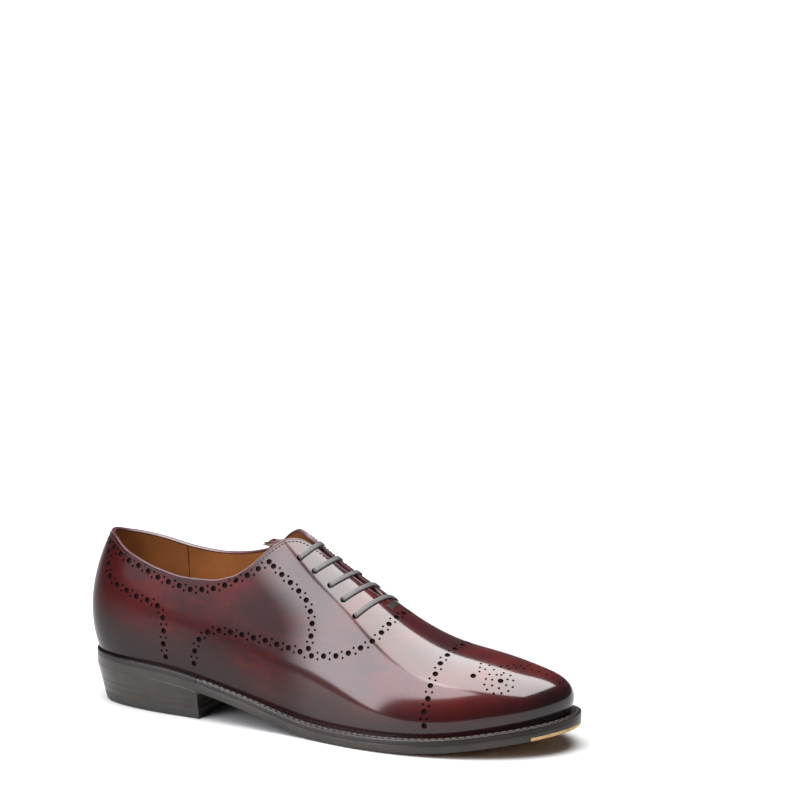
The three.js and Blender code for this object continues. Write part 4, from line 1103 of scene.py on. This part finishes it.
# ------------------------------------------------------------------ tongue
TONGUE_BACK, TONGUE_FRONT = 4.85, 7.45
TONGUE_DEPTH, TONGUE_THICKNESS = 5.5, 1.1
TONGUE_INNER = TONGUE_DEPTH + TONGUE_THICKNESS + GAP
TONGUE_LINING_THICKNESS = 0.7
TONGUE_FALL = 9.5  # how far its free end sinks into the shoe
TONGUE_TIP_FALL = 4.5  # further fall of its last part, which bends down


def tongue_half(s):
    """Half width of the tongue as a share of the wall, rounded at its free end."""
    body = 0.2 + 0.13 * ramp(s, TONGUE_FRONT, 6.2)
    from_end = np.minimum((s - TONGUE_BACK) / 0.4, 1)
    return body * np.sqrt(np.maximum(1 - (1 - from_end) ** 2, 0.3))


def tongue_points(s, a, depth):
    """Tongue surface: a runs from -1 (outer side) to 1 (inner side) across it."""
    at = np.where(a <= 0, s, LOOP - s)
    t = 1 - np.abs(a) * tongue_half(s)
    total = (depth + TONGUE_FALL * ramp(s, 5.75, 4.7) ** 1.3
             + TONGUE_TIP_FALL * ramp(s, 5.35, 4.85))
    return last_point(at, t) - last_normal(at, t) * total[..., None]


def make_tongue(name, depth, thickness, finish):
    """Layer of the tongue with rounded edges."""
    along = TONGUE_BACK + (TONGUE_FRONT - TONGUE_BACK) * np.linspace(0, 1, 71) ** 1.25
    a = np.sin(np.linspace(-1, 1, 41) * math.pi / 2)
    s, a = np.meshgrid(along, a, indexing="ij")
    near_edge = np.minimum(1 - np.abs(a), (s - TONGUE_BACK) / 0.5)
    soft = 0.5 * thickness * (1 - np.sqrt(np.clip(near_edge / 0.045, 0, 1)))
    up = tongue_points(s, a, depth + soft)
    down = tongue_points(s, a, depth + thickness - soft)[:, ::-1]
    grid = np.concatenate([up, down], 1)
    count, sides = grid.shape[:2]
    points, faces, _ = weld(grid, grid_quads(count, sides, wrap_columns=True))
    points, faces = cap_ends(points, faces, grid)
    obj = new_object(name, points, outward(points, faces))
    obj.data.materials.append(finish)
    return obj


def tongue_stitching():
    """Row of stitches round the tongue's free end."""
    turn = np.linspace(-1, 1, 600)
    s = np.where(np.abs(turn) > 0.45, TONGUE_BACK + 0.09 + 1.1 * (np.abs(turn) - 0.45) / 0.55,
                 TONGUE_BACK + 0.09)
    a = np.clip(turn / 0.45, -1, 1) * 0.86
    points = tongue_points(s, a, np.full_like(s, TONGUE_DEPTH))
    run = np.concatenate([[0], np.cumsum(np.linalg.norm(np.diff(points, axis=0), axis=1))])
    at = np.linspace(1, run[-1] - 1, int(run[-1] / 2.3))
    s, a = np.interp(at, run, s), np.interp(at, run, a)
    points = tongue_points(s, a, np.full_like(s, TONGUE_DEPTH))
    below = tongue_points(s, a, np.full_like(s, TONGUE_DEPTH + 1))
    along = unit(np.gradient(points, axis=0))
    normals = unit(points - below)
    normals = unit(normals - (normals * along).sum(1, keepdims=True) * along)
    return make_stitches("tongue_stitching", points, normals, along, 1.7, 0.27)

# ------------------------------------------------------------------ eyelets and lace
LACE_DEPTH = 4.4
LACE_LIFT = 0.66
LACE_WIDTH = 3.0
LACE_THICKNESS = 0.9
STATION_SIZE, WALL_SIZE = 30, 70  # size of a station and of the wall at the lacing


def bar_at(index, q):
    """Station and share along lace bar `index`, where q runs from -1 (outer) to 1 (inner)."""
    s, t = EYELETS[index]
    from_heel = s + INNER_EYELET_SHIFT[index] * (q + 1) / 2 + 0.15 * (1 - q * q)
    return (from_heel if q <= 0 else LOOP - from_heel), 1 - (1 - t) * abs(q)


def eyelet_at(index, side):
    """Station and share of one eyelet; the inner row is shifted a little."""
    s, t = EYELETS[index]
    return (s, t) if side > 0 else (LOOP - s - INNER_EYELET_SHIFT[index], t)


def run_between(here, there):
    """Millimetres towards the toe and up the wall from one place to another."""
    side = -1 if here[0] > TOE else 1
    return side * (there[0] - here[0]) * STATION_SIZE, (there[1] - here[1]) * WALL_SIZE


def run_turn(here, there):
    """Turn that keeps the lace's width square to a hidden run."""
    forward, up = run_between(here, there)
    return math.atan2(forward, -up)


def hidden_run(here, there, steps):
    """Places along the lace's hidden run between two others."""
    turn = run_turn(here, there)
    shares = [k / steps for k in range(1, steps)]
    return [(here[0] + (there[0] - here[0]) * f, here[1] + (there[1] - here[1]) * f,
             -LACE_DEPTH, turn) for f in shares]


def through_eyelet(index, side, there):
    """Places that carry the lace down through an eyelet and on towards `there`."""
    here = eyelet_at(index, side)
    q = -1 if side > 0 else 1
    top = [(0.1, LACE_LIFT), (0.035, LACE_LIFT - 0.08), (0.008, 0.15)]
    places = [(*bar_at(index, q * (1 - amount)), height, 0.0) for amount, height in top]
    turn = run_turn(here, there)
    places += [(*here, -0.8, 0.25 * turn), (*here, -2.8, 0.75 * turn)]
    reach = math.hypot(*run_between(here, there))
    for distance, height in ((0.05, 0.9 - LACE_DEPTH), (0.6, 0.15 - LACE_DEPTH), (2, -LACE_DEPTH)):
        f = distance / reach
        places.append((here[0] + (there[0] - here[0]) * f,
                       here[1] + (there[1] - here[1]) * f, height, turn))
    return places


def lace_route():
    """Places (station, share, height, turn) from one tucked end by every eyelet to the other."""
    tail = lambda index, side: (eyelet_at(index, side)[0], 0.42)
    route, side, here = [], 1, tail(0, 1)
    for index in range(len(EYELETS)):
        first = through_eyelet(index, side, here)[::-1]
        runs = hidden_run(here, eyelet_at(index, side), 4 if index == 0 else 2)
        if index == 0:
            route += [(*here, -LACE_DEPTH, 0.0)] + runs[:-1]
        route += first
        q = -1 if side > 0 else 1
        route += [(*bar_at(index, q * f), LACE_LIFT, 0.0)
                  for f in (0.75, 0.5, 0.25, 0, -0.25, -0.5, -0.75)]
        side = -side
        last = index == len(EYELETS) - 1
        there = tail(index, side) if last else eyelet_at(index + 1, side)
        route += through_eyelet(index, side, there)
        if last:
            route += hidden_run(eyelet_at(index, side), there, 4)[1:]
            route += [(*there, -LACE_DEPTH, 0.0)]
        here = eyelet_at(index, side)
    return np.array(route)


def smooth_path(points, per):
    """Curve through points: cubic pieces with tangents for uneven steps (square-root spacing)."""
    step = np.sqrt(np.maximum(np.linalg.norm(np.diff(points[:, :3], axis=0), axis=1), 1e-6))
    slope = np.diff(points, axis=0) / step[:, None]
    tangent = np.empty_like(points)
    tangent[0], tangent[-1] = slope[0], slope[-1]
    before, after = step[:-1, None], step[1:, None]
    tangent[1:-1] = (slope[:-1] * after + slope[1:] * before) / (before + after)
    f = np.tile(np.arange(per) / per, len(step))[:, None]
    k = np.repeat(np.arange(len(step)), per)
    width = step[k][:, None]
    ease = f * f * (3 - 2 * f)
    pull = f * (1 - f) ** 2 * tangent[k] - f * f * (1 - f) * tangent[k + 1]
    return np.concatenate([
        points[k] * (1 - ease) + points[k + 1] * ease + width * pull, points[-1:]])


def lace_frames():
    """Centres, directions of run, width and thickness along the lace."""
    s, t, height, turn = lace_route().T
    normal = last_normal(s, t)
    centre = last_point(s, t) + normal * height[:, None]
    step = 1e-2
    along = unit(last_point(s + step, t) - last_point(s - step, t))
    up = unit(last_point(s, t) - last_point(s, t - step))
    side = np.where(s > TOE, -1.0, 1.0)
    width = along * (side * np.cos(turn))[:, None] + up * np.sin(turn)[:, None]
    run = unit(np.gradient(centre, axis=0))
    width = unit(width - run * (width * run).sum(1, keepdims=True))
    for k in range(1, len(width)):
        if width[k] @ width[k - 1] < 0:
            width[k] = -width[k]
    both = smooth_path(np.concatenate([centre, width], 1), 5)
    centre, width = both[:, :3], both[:, 3:]
    run = unit(np.gradient(centre, axis=0))
    width = unit(width - run * (width * run).sum(1, keepdims=True))
    return centre, run, width, np.cross(run, width)


def add_weave(obj, centre, sides, across):
    """Point attribute "weave": millimetres along the piece and the place across it."""
    run = np.concatenate([[0], np.cumsum(np.linalg.norm(np.diff(centre, axis=0), axis=1))])
    values = np.zeros((len(run), sides, 3))
    values[..., 0] = run[:, None]
    values[..., 1] = across
    attribute = obj.data.attributes.new("weave", "FLOAT_VECTOR", "POINT")
    attribute.data.foreach_set("vector", values.astype(np.float32).ravel())


def make_lace():
    """Flat woven lace: a squarish oval carried along the route."""
    centre, _, width, height = lace_frames()
    angle = np.arange(16) * math.pi / 8
    x = np.sign(np.cos(angle)) * np.abs(np.cos(angle)) ** 0.75 * LACE_WIDTH / 2
    y = np.sign(np.sin(angle)) * np.abs(np.sin(angle)) ** 0.75 * LACE_THICKNESS / 2
    sections = centre[:, None] + width[:, None] * x[:, None] + height[:, None] * y[:, None]
    lace = tube("flat_lace", sections)
    add_weave(lace, centre, len(angle), x)
    lace.data.materials.append(lace_finish)
    return lace


def make_aglet(name, start, run, direction):
    """Crimped metal tip: a turned tube with rounded ends and two crimps."""
    inward = np.array([0, -np.sign(start[1]), 0])
    axis = unit(run * direction + 0.3 * inward)
    start = start + run * direction * 2 * GAP
    heights = np.array([0, 0.15, 2.0, 2.4, 2.8, 8.6, 9.0, 9.4, 13.6, 14])
    radii = np.array([0.7, 0.9, 0.9, 0.78, 0.9, 0.9, 0.78, 0.9, 0.85, 0.5])
    frame_rows = frames_of(axis[None], np.array([[1.0, 0, 0]]))
    points, faces = many(start[None], frame_rows, radii, heights, 16)
    obj = new_object(name + "_metal", points, outward(points, faces))
    obj.data.materials.append(aglet_finish)
    return obj


EYELET_PROFILE = [
    (1.95, -1.95), (2.1, -1.85), (2.25, -1.95), (2.25, -2.95), (3.3, -2.98), (3.45, -3.1),
    (3.35, -3.3), (2.1, -3.35), (1.92, -3.2),
]


def make_eyelet(name, point, normal):
    """Blind brass eyelet: a turned section closed on itself."""
    profile = np.array(EYELET_PROFILE)
    angle = np.arange(28) * 2 * math.pi / 28
    u, v, n = frames_of(normal[None])[0]
    ring = np.cos(angle)[:, None] * u + np.sin(angle)[:, None] * v
    sections = point + ring[:, None] * profile[:, 0, None] + n * profile[:, 1, None]
    obj = tube(name + "_metal", sections, closed=True)
    # The brass is coloured dark as painted shade, since it sits deep in its hole.
    obj.data.materials.append(eyelet_shade_finish)
    return obj


# ------------------------------------------------------------------ bottom
HEEL_BREAST = 80.5
HEEL_TAPER = 6.0
SIDE_STEP = 0.05
ACROSS = 14


def above(level):
    """Level that follows the sole's curve at a height over it."""
    return lambda x: sole_z(x) + level


def flat(z):
    """Level at one height everywhere."""
    return lambda x: np.full_like(np.asarray(x, float), z)


def station_at(x, base, side):
    """Station, counted from the heel on one side, at which an inset outline crosses x."""
    s = np.linspace(0, TOE, 1201)
    at, _ = inset_point(side * s, base(s))
    return float(np.interp(x, np.maximum.accumulate(at), s))


def plate(name, levels, back=None, front=None):
    """Solid plate between outlines: levels lists, from top to bottom, (inset function of the
    station, how much a cut end is drawn in, height function of x). Its two faces are ruled
    between matching points of the outer and inner side. The bottom face is marked 1."""
    rings, caps = [], []
    rough = 0 if back is None else station_at(back, levels[0][0], 1)
    end = TOE if front is None else station_at(front, levels[0][0], 1)
    share = np.linspace(0, 1, int((end - rough) / SIDE_STEP) + 2)
    cross = np.linspace(0, 1, ACROSS + 1)
    for base, draw, height in levels:
        sides = []
        for side in (1, -1):
            first = 0 if back is None else station_at(back + draw, base, side)
            last = TOE if front is None else station_at(front - draw, base, side)
            s = first + share * (last - first)
            sides.append(np.stack(inset_point(side * s, base(s)), -1))
        outer, inner = sides
        sheet = outer[:, None] + (inner - outer)[:, None] * cross[:, None]
        sheet = np.concatenate([sheet, height(sheet[..., 0])[..., None]], 2)
        loop = np.concatenate([sheet[:, 0], sheet[-1, 1:-1], sheet[::-1, -1], sheet[0, -2:0:-1]])
        rings.append(loop)
        caps.append(sheet)
    rings = np.array(rings)
    quads = [grid_quads(*rings.shape[:2], wrap_columns=True)]
    points = [rings.reshape(-1, 3)]
    marks = [np.zeros(len(quads[0]), int)]
    start = len(points[0])
    for sheet, order, mark in ((caps[0], 1, 0), (caps[-1], -1, 1)):
        quads.append(grid_quads(*sheet.shape[:2])[:, ::order] + start)
        points.append(sheet.reshape(-1, 3))
        marks.append(np.full(len(quads[-1]), mark))
        start += len(points[-1])
    points, faces, marks = weld(
        np.concatenate(points), np.concatenate(quads), np.concatenate(marks))
    return new_object(name, points, outward(points, faces), face_materials=marks)


def sole_levels(top):
    """Levels of the sole's edge: its bevel all but goes at the heel, where lifts meet it."""
    def base(draw):
        return lambda s: (draw * (0.1 + 0.9 * ramp(inset_point(s, 0)[0], 74, 90))
                          - welt_reach(np.mod(s, LOOP)))

    upper = [(0.1, top), (0.03, top - 0.04), (0, top - 0.12)]
    lower = [(0, 1.0), (0.16, 0.45), (0.55, 0.12), (1.1, 0.0)]
    return [(base(draw), draw, above(level)) for draw, level in upper + lower]


def heel_base(z, draw=0.0):
    """Outline of the heel at a height: it leans in towards the ground, most at the back."""
    lean = HEEL_TAPER * (1 - z / HEEL_PITCH)
    return lambda s: lean * (1 - 0.12 * np.minimum(s, 4)) - welt_reach(np.mod(s, LOOP)) + draw


EASE = 0.1  # how much the edges of the heel's layers are eased


def heel_layer(name, bottom, top, meets_sole=False, worn=EASE):
    """One layer of the heel, with eased edges; the last is shaped to the sole above it."""
    high = HEEL_PITCH if meets_sole else top
    top_height = above(-0.02) if meets_sole else flat(top)
    eased = above(-0.02 - EASE) if meets_sole else flat(top - EASE)
    levels = [
        (heel_base(high, EASE), EASE, top_height), (heel_base(high), 0, eased),
        (heel_base(bottom), 0, flat(bottom + worn)),
        (heel_base(bottom, 0.3 * worn), 0.3 * worn, flat(bottom + 0.3 * worn)),
        (heel_base(bottom, worn), worn, flat(bottom)),
    ]
    return plate(name, levels, front=HEEL_BREAST)


def rods(name, places, low, high, radius, sides=14):
    """Upright round cutters."""
    centres = np.array([(x, y, low(x)) for x, y in places])
    frames = np.broadcast_to(np.eye(3), (len(places), 3, 3))
    points, faces = many(centres, frames, [radius, radius], [0, high], sides)
    return new_object(name, points, outward(points, faces))


TOE_PLATE_BACK = 286.0
SCREW_PLACES = [(290.5, -7), (290.5, 13), (295.5, 3.5)]
NAIL_PLACES = [tuple(float(v) for v in inset_point(s, 12.0)) for s in (-2.6, -1.3, 0.0, 1.3, 2.6)]


def make_outsole():
    """Outsole with a stained edge and a recess for the toe plate."""
    sole = plate("outsole_leather", sole_levels(SOLE_THICKNESS))
    wide = lambda s: -welt_reach(np.mod(s, LOOP)) - 2
    recess = plate("recess", [(wide, 0, above(2.3)), (wide, 0, above(-2))],
                   back=TOE_PLATE_BACK - 0.1)
    for obj in (sole, recess):
        obj.data.materials.append(edge_finish)
        obj.data.materials.append(sole_finish)
    recess.data.polygons.foreach_set(
        "material_index", np.zeros(len(recess.data.polygons), np.int32))
    sole = carve(sole, recess)
    cutter = rods("bores", SCREW_PLACES, lambda x: sole_z(x) - 0.5, 5.3, 1.9)
    cutter.data.materials.append(edge_finish)
    return carve(sole, cutter)


def make_toe_plate():
    """Brass plate let into the toe, drilled for its screws."""
    levels = sole_levels(2.2)
    levels[:3] = [(lambda s: 0.1 - welt_reach(np.mod(s, LOOP)), 0.05, above(2.2)),
                  (lambda s: -welt_reach(np.mod(s, LOOP)), 0, above(2.1))]
    levels = [(base, min(draw, 0.1), height) for base, draw, height in levels]
    obj = plate("toe_plate_metal", levels, back=TOE_PLATE_BACK)
    obj.data.materials.append(toe_brass_finish)
    cutter = rods("bores", SCREW_PLACES, lambda x: sole_z(x) - 1, 5, 1.95, 20)
    cutter.data.materials.append(toe_brass_finish)
    return carve(obj, cutter)


def strip(name, start, end, section, step=0.02):
    """Solid round the feather line: section(s) gives (inset, level) arrays, one per corner."""
    s = columns(start, end, step)
    corners = []
    for inset, level in section(s):
        x, y = inset_point(s, inset)
        corners.append(np.stack([x, y, sole_z(x) + level], -1))
    return tube(name, np.stack(corners, 1))


BREAST_STATION = station_at(HEEL_BREAST, lambda s: 0 * s, 1)
STITCH_LINE = 0.6  # share of the welt's reach at which its stitches run
STITCH_PITCH = 4.0


def welt_section(grooved):
    """Corners of the welt: eased outside, with a groove for its stitches and wheel marks."""
    def section(s):
        reach = welt_reach(np.mod(s, LOOP))
        x, y = inset_point(s, -reach)
        run = np.concatenate([[0], np.cumsum(np.hypot(np.diff(x), np.diff(y)))])
        marks = 0.16 * np.abs(np.sin(math.pi * run / STITCH_PITCH)) ** 6 if grooved else 0 * run
        dip = 0.22 if grooved else 0.0
        line = STITCH_LINE * reach
        low, high = WELT_BOTTOM - 0.24, WELT_TOP
        return [
            (0 * s - GAP, 0 * s + low), (0.1 - reach, 0 * s + low), (0 - reach, 0 * s + low + 0.1),
            (0 - reach, 0 * s + high - 0.55), (0.12 - reach, high - 0.2 - marks),
            (0.45 - reach, high - marks),
            (np.maximum(-line - 0.55, 0.55 - reach), 0 * s + high - 0.3 * marks),
            (-line, 0 * s + high - dip), (-line + 0.55, 0 * s + high), (0 * s - GAP, 0 * s + high),
        ]
    return section


def make_welt():
    """Welt round the forefoot, from breast to breast."""
    welt = strip("welt_leather", BREAST_STATION + 0.005, LOOP - BREAST_STATION - 0.005,
                 welt_section(True))
    welt.data.materials.append(welt_finish)
    return welt


def make_rand():
    """Welt carried on round the heel seat."""
    rand = strip("heel_rand_leather", -BREAST_STATION + 0.005, BREAST_STATION - 0.005,
                 welt_section(False), 0.04)
    rand.data.materials.append(welt_finish)
    return rand


def welt_stitching():
    """Sewing of the welt: short threads end to end in its groove."""
    s = np.linspace(BREAST_STATION + 0.1, LOOP - BREAST_STATION - 0.1, 6000)
    x, y = inset_point(s, -STITCH_LINE * welt_reach(np.mod(s, LOOP)))
    points = np.stack([x, y, sole_z(x) + WELT_TOP - 0.12], -1)
    run = np.concatenate([[0], np.cumsum(np.linalg.norm(np.diff(points, axis=0), axis=1))])
    at = np.arange(STITCH_PITCH / 2, run[-1], STITCH_PITCH)
    points = np.stack([np.interp(at, run, points[:, k]) for k in range(3)], 1)
    along = unit(np.gradient(points, axis=0))
    up = unit(np.array([0, 0, 1.0]) - along[:, 2:] * along)
    obj = make_stitches("welt_stitching", points, up, along, 3.3, 0.42, sink=0.35)
    obj.data.materials.clear()
    obj.data.materials.append(welt_thread_finish)
    return obj


def make_insole():
    """Insole with eased edges."""
    inset = lambda draw: lambda s: 0 * s + INSOLE_INSET + draw
    levels = [(inset(0.3), 0, above(INSOLE_TOP)), (inset(0), 0, above(INSOLE_TOP - 0.3)),
              (inset(0), 0, above(INSOLE_BOTTOM + 0.2)), (inset(0.2), 0, above(INSOLE_BOTTOM))]
    insole = plate("insole_leather", levels)
    insole.data.materials.append(insole_finish)
    return insole


def make_heel_sock():
    """Padded sock under the heel: its edge is eased and its middle stands a little proud."""
    inset = lambda draw: lambda s: 0 * s + INSOLE_INSET + 1.2 + draw
    low = INSOLE_TOP + GAP
    edge = [(1.6, 1.4), (0.8, 1.25), (0.25, 0.95), (0, 0.6), (0, 0.25), (0.2, 0.0)]
    sock = plate("heel_sock_pad", [(inset(draw), draw, above(low + z)) for draw, z in edge],
                 front=82.0)
    mesh = sock.data
    co = np.empty(len(mesh.vertices) * 3)
    mesh.vertices.foreach_get("co", co)
    co = co.reshape(-1, 3)
    x = co[:, 0] / MM - TO_FRAME[0]
    y = co[:, 1] / MM - TO_FRAME[1]
    top = co[:, 2] / MM > sole_z(x) + low + 1.3
    crown = 0.8 * np.clip(1 - (y / 22) ** 2, 0, 1) * ramp(x, 6, 28) * ramp(x, 82, 62)
    co[:, 2] += crown * top * MM
    mesh.vertices.foreach_set("co", co.ravel())
    finish_mesh(mesh)
    sock.data.materials.append(sock_finish)
    return sock


# ------------------------------------------------------------------ assembly
def put(piece, body, slot_name, *nodes):
    """Piece rides on its body and stands for CAD nodes, which are hidden."""
    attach(piece, body)
    if nodes:
        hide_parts(*nodes)
    return piece


def with_finish(piece, finish):
    """Adds one more finish to a piece and returns it."""
    piece.data.materials.append(finish)
    return piece


def build_upper():
    """Upper, its binding and stitching, and the layers behind it."""
    put(make_upper(), "shoe", "upper_leather", "upper")
    put(make_binding(), "shoe", "upper_leather", "topline_binding")
    put(edge_stitching(), "shoe", "sewing_thread")
    put(make_bartack(), "shoe", "sewing_thread", "throat_bartack")
    for name, (start, end) in LININGS.items():
        put(make_lining(name, start, end), "shoe", "lining_leather", name)
    for name, start, end, top in (("heel_stiffener", -3, 3, 0.76), ("toe_puff", 9.5, 14.5, 1.0)):
        board = with_finish(make_stiffener(name + "_board", start, end, top), board_finish)
        put(board, "shoe", "stiffening", name)


def build_tongue():
    """Tongue, its lining and its stitching, all riding on the tongue's body."""
    tongue = make_tongue("tongue_leather", TONGUE_DEPTH, TONGUE_THICKNESS, patina)
    put(tongue, "tongue", "upper_leather", "tongue")
    lining = make_tongue(
        "tongue_lining_leather", TONGUE_INNER, TONGUE_LINING_THICKNESS, tongue_lining_finish)
    put(lining, "tongue", "lining_leather", "tongue_lining")
    put(tongue_stitching(), "tongue", "sewing_thread")


def build_lacing():
    """Lace, its metal tips and the eyelets."""
    put(make_lace(), "shoe", "waxed_lace", "shoelace")
    centre, run, _, _ = lace_frames()
    for side, end, direction in (("lateral", 0, -1), ("medial", -1, 1)):
        name = "aglet_" + side
        put(make_aglet(name, centre[end], run[end], direction), "shoe", "tip_steel", name)
    points, normals, _ = eyelet_places()
    for k in range(10):
        name = f"eyelet_{'lateral' if k < 5 else 'medial'}_{k % 5 + 1}"
        put(make_eyelet(name, points[k], normals[k]), "shoe", "eyelet_brass", name)


def build_bottom():
    """Everything under the foot, from insole to top piece."""
    put(make_outsole(), "shoe", "outsole_leather", "outsole")
    put(make_welt(), "shoe", "stained_edge", "welt")
    put(make_rand(), "shoe", "stained_edge", "heel_rand")
    put(welt_stitching(), "shoe", "sewing_thread", "welt_thread")
    put(make_toe_plate(), "shoe", "toe_brass", "toe_plate")
    put(make_insole(), "shoe", "insole_leather", "insole")
    sock = put(make_heel_sock(), "shoe", "lining_leather", "heel_sock")
    top_piece = heel_layer("top_piece_rubber", 0.0, 5.6, worn=0.4)
    low_lift = heel_layer("heel_lift_1_leather", 5.62, 9.45)
    for layer, finish in ((top_piece, rubber_finish), (low_lift, edge_finish)):
        layer.data.materials.append(finish)
        layer.data.materials.append(finish)
        cutter = with_finish(rods("bores", NAIL_PLACES, lambda x: -1.0, 9.9, 1.2), finish)
        carve(layer, cutter)
    put(top_piece, "shoe", "heel_rubber", "top_piece")
    put(low_lift, "shoe", "stained_edge", "heel_lift_1")
    for name, low, high, meets in (
            ("heel_lift_2", 9.47, 13.3, False), ("heel_lift_3", 13.32, None, True)):
        lift = heel_layer(name + "_leather", low, high, meets)
        lift = with_finish(with_finish(lift, edge_finish), edge_finish)
        put(lift, "shoe", "stained_edge", name)


def finish_kept_nodes():
    """Procedural finishes for the CAD solids that show as they are."""
    finishes = {"insole_rib": insole_finish, "cork_filler": cork_finish, "shank": steel_finish}
    finishes.update({f"toe_plate_screw_{k}": steel_finish for k in (1, 2, 3)})
    finishes.update({f"heel_nail_{k}": brass_finish for k in (1, 2, 3, 4, 5)})
    for name, finish in finishes.items():
        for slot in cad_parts[name].material_slots:
            slot.material = finish


# ------------------------------------------------------------------ studio
def make_floor():
    """Wide pale table, lit near the shoe; away from it, and most behind it, it glows by itself:
    painted light that keeps it white.
    """
    half = 9.0
    mesh = bpy.data.meshes.new("studio_floor")
    corners = [(-half, -half, 0), (half, -half, 0), (half, half, 0), (-half, half, 0)]
    mesh.from_pydata(corners, [], [(0, 1, 2, 3)])
    floor = bpy.data.objects.new("studio_floor", mesh)
    bpy.context.scene.collection.objects.link(floor)
    made = Finish("white_table_painted_glow", Roughness=0.6, Specular_IOR_Level=0.15, Emission_Strength=1.0)
    place = made.place()
    x, y, _ = made.axes(place)
    # Painted light: the table glows away from the shoe, most behind it, but not near it.
    behind = y * 0.9 - x * 0.44
    away = made.node("VectorMath", {"operation": "LENGTH"}, {0: place}, output=1)
    glow = behind.between(0.2, 1.1) + away.between(0.2, 0.6) * 0.3
    made.set(Base_Color=made.mix(glow, (0.38, 0.38, 0.38), (0.34, 0.34, 0.34)),
             Emission_Color=made.mix(glow, (0.0, 0.0, 0.0), (1.0, 1.0, 1.0)))
    mesh.materials.append(made.material)


def add_softbox(name, place, aim, width, depth, power, color=(1, 1, 1), roll=0.0):
    """Square-cornered soft light that faces its aim, rolled clockwise as seen from the aim."""
    data = bpy.data.lights.new(name, "AREA")
    data.shape = "RECTANGLE"
    data.size, data.size_y = width, depth
    data.energy = power
    data.color = color
    light = bpy.data.objects.new(name, data)
    place, aim = Vector(place), Vector(aim)
    facing = (place - aim).to_track_quat("Z", "Y").to_matrix() @ Matrix.Rotation(-roll, 3, "Z")
    light.matrix_world = Matrix.Translation(place) @ facing.to_4x4()
    bpy.context.scene.collection.objects.link(light)


def light_studio():
    """Softboxes overhead and at the side, in a plain pale studio."""
    add_softbox("overhead_softbox", (-0.05, 0.05, 1.5), (-0.05, 0.05, 0), 1.9, 1.6, 108)
    add_softbox("side_softbox", (-0.481, -0.898, 0.804), (-0.141, -0.118, 0.284),
                0.75, 1.56, 33, (0.96, 0.95, 1), 0.32)
    world = bpy.data.worlds.new("studio")
    world.use_nodes = True
    background = world.node_tree.nodes["Background"]
    background.inputs["Color"].default_value = (0.9, 0.92, 1, 1)
    background.inputs["Strength"].default_value = 0.12
    bpy.context.scene.world = world
    bpy.context.scene.view_settings.view_transform = "Standard"


build_upper()
build_tongue()
build_lacing()
build_bottom()
finish_kept_nodes()
make_floor()
light_studio()
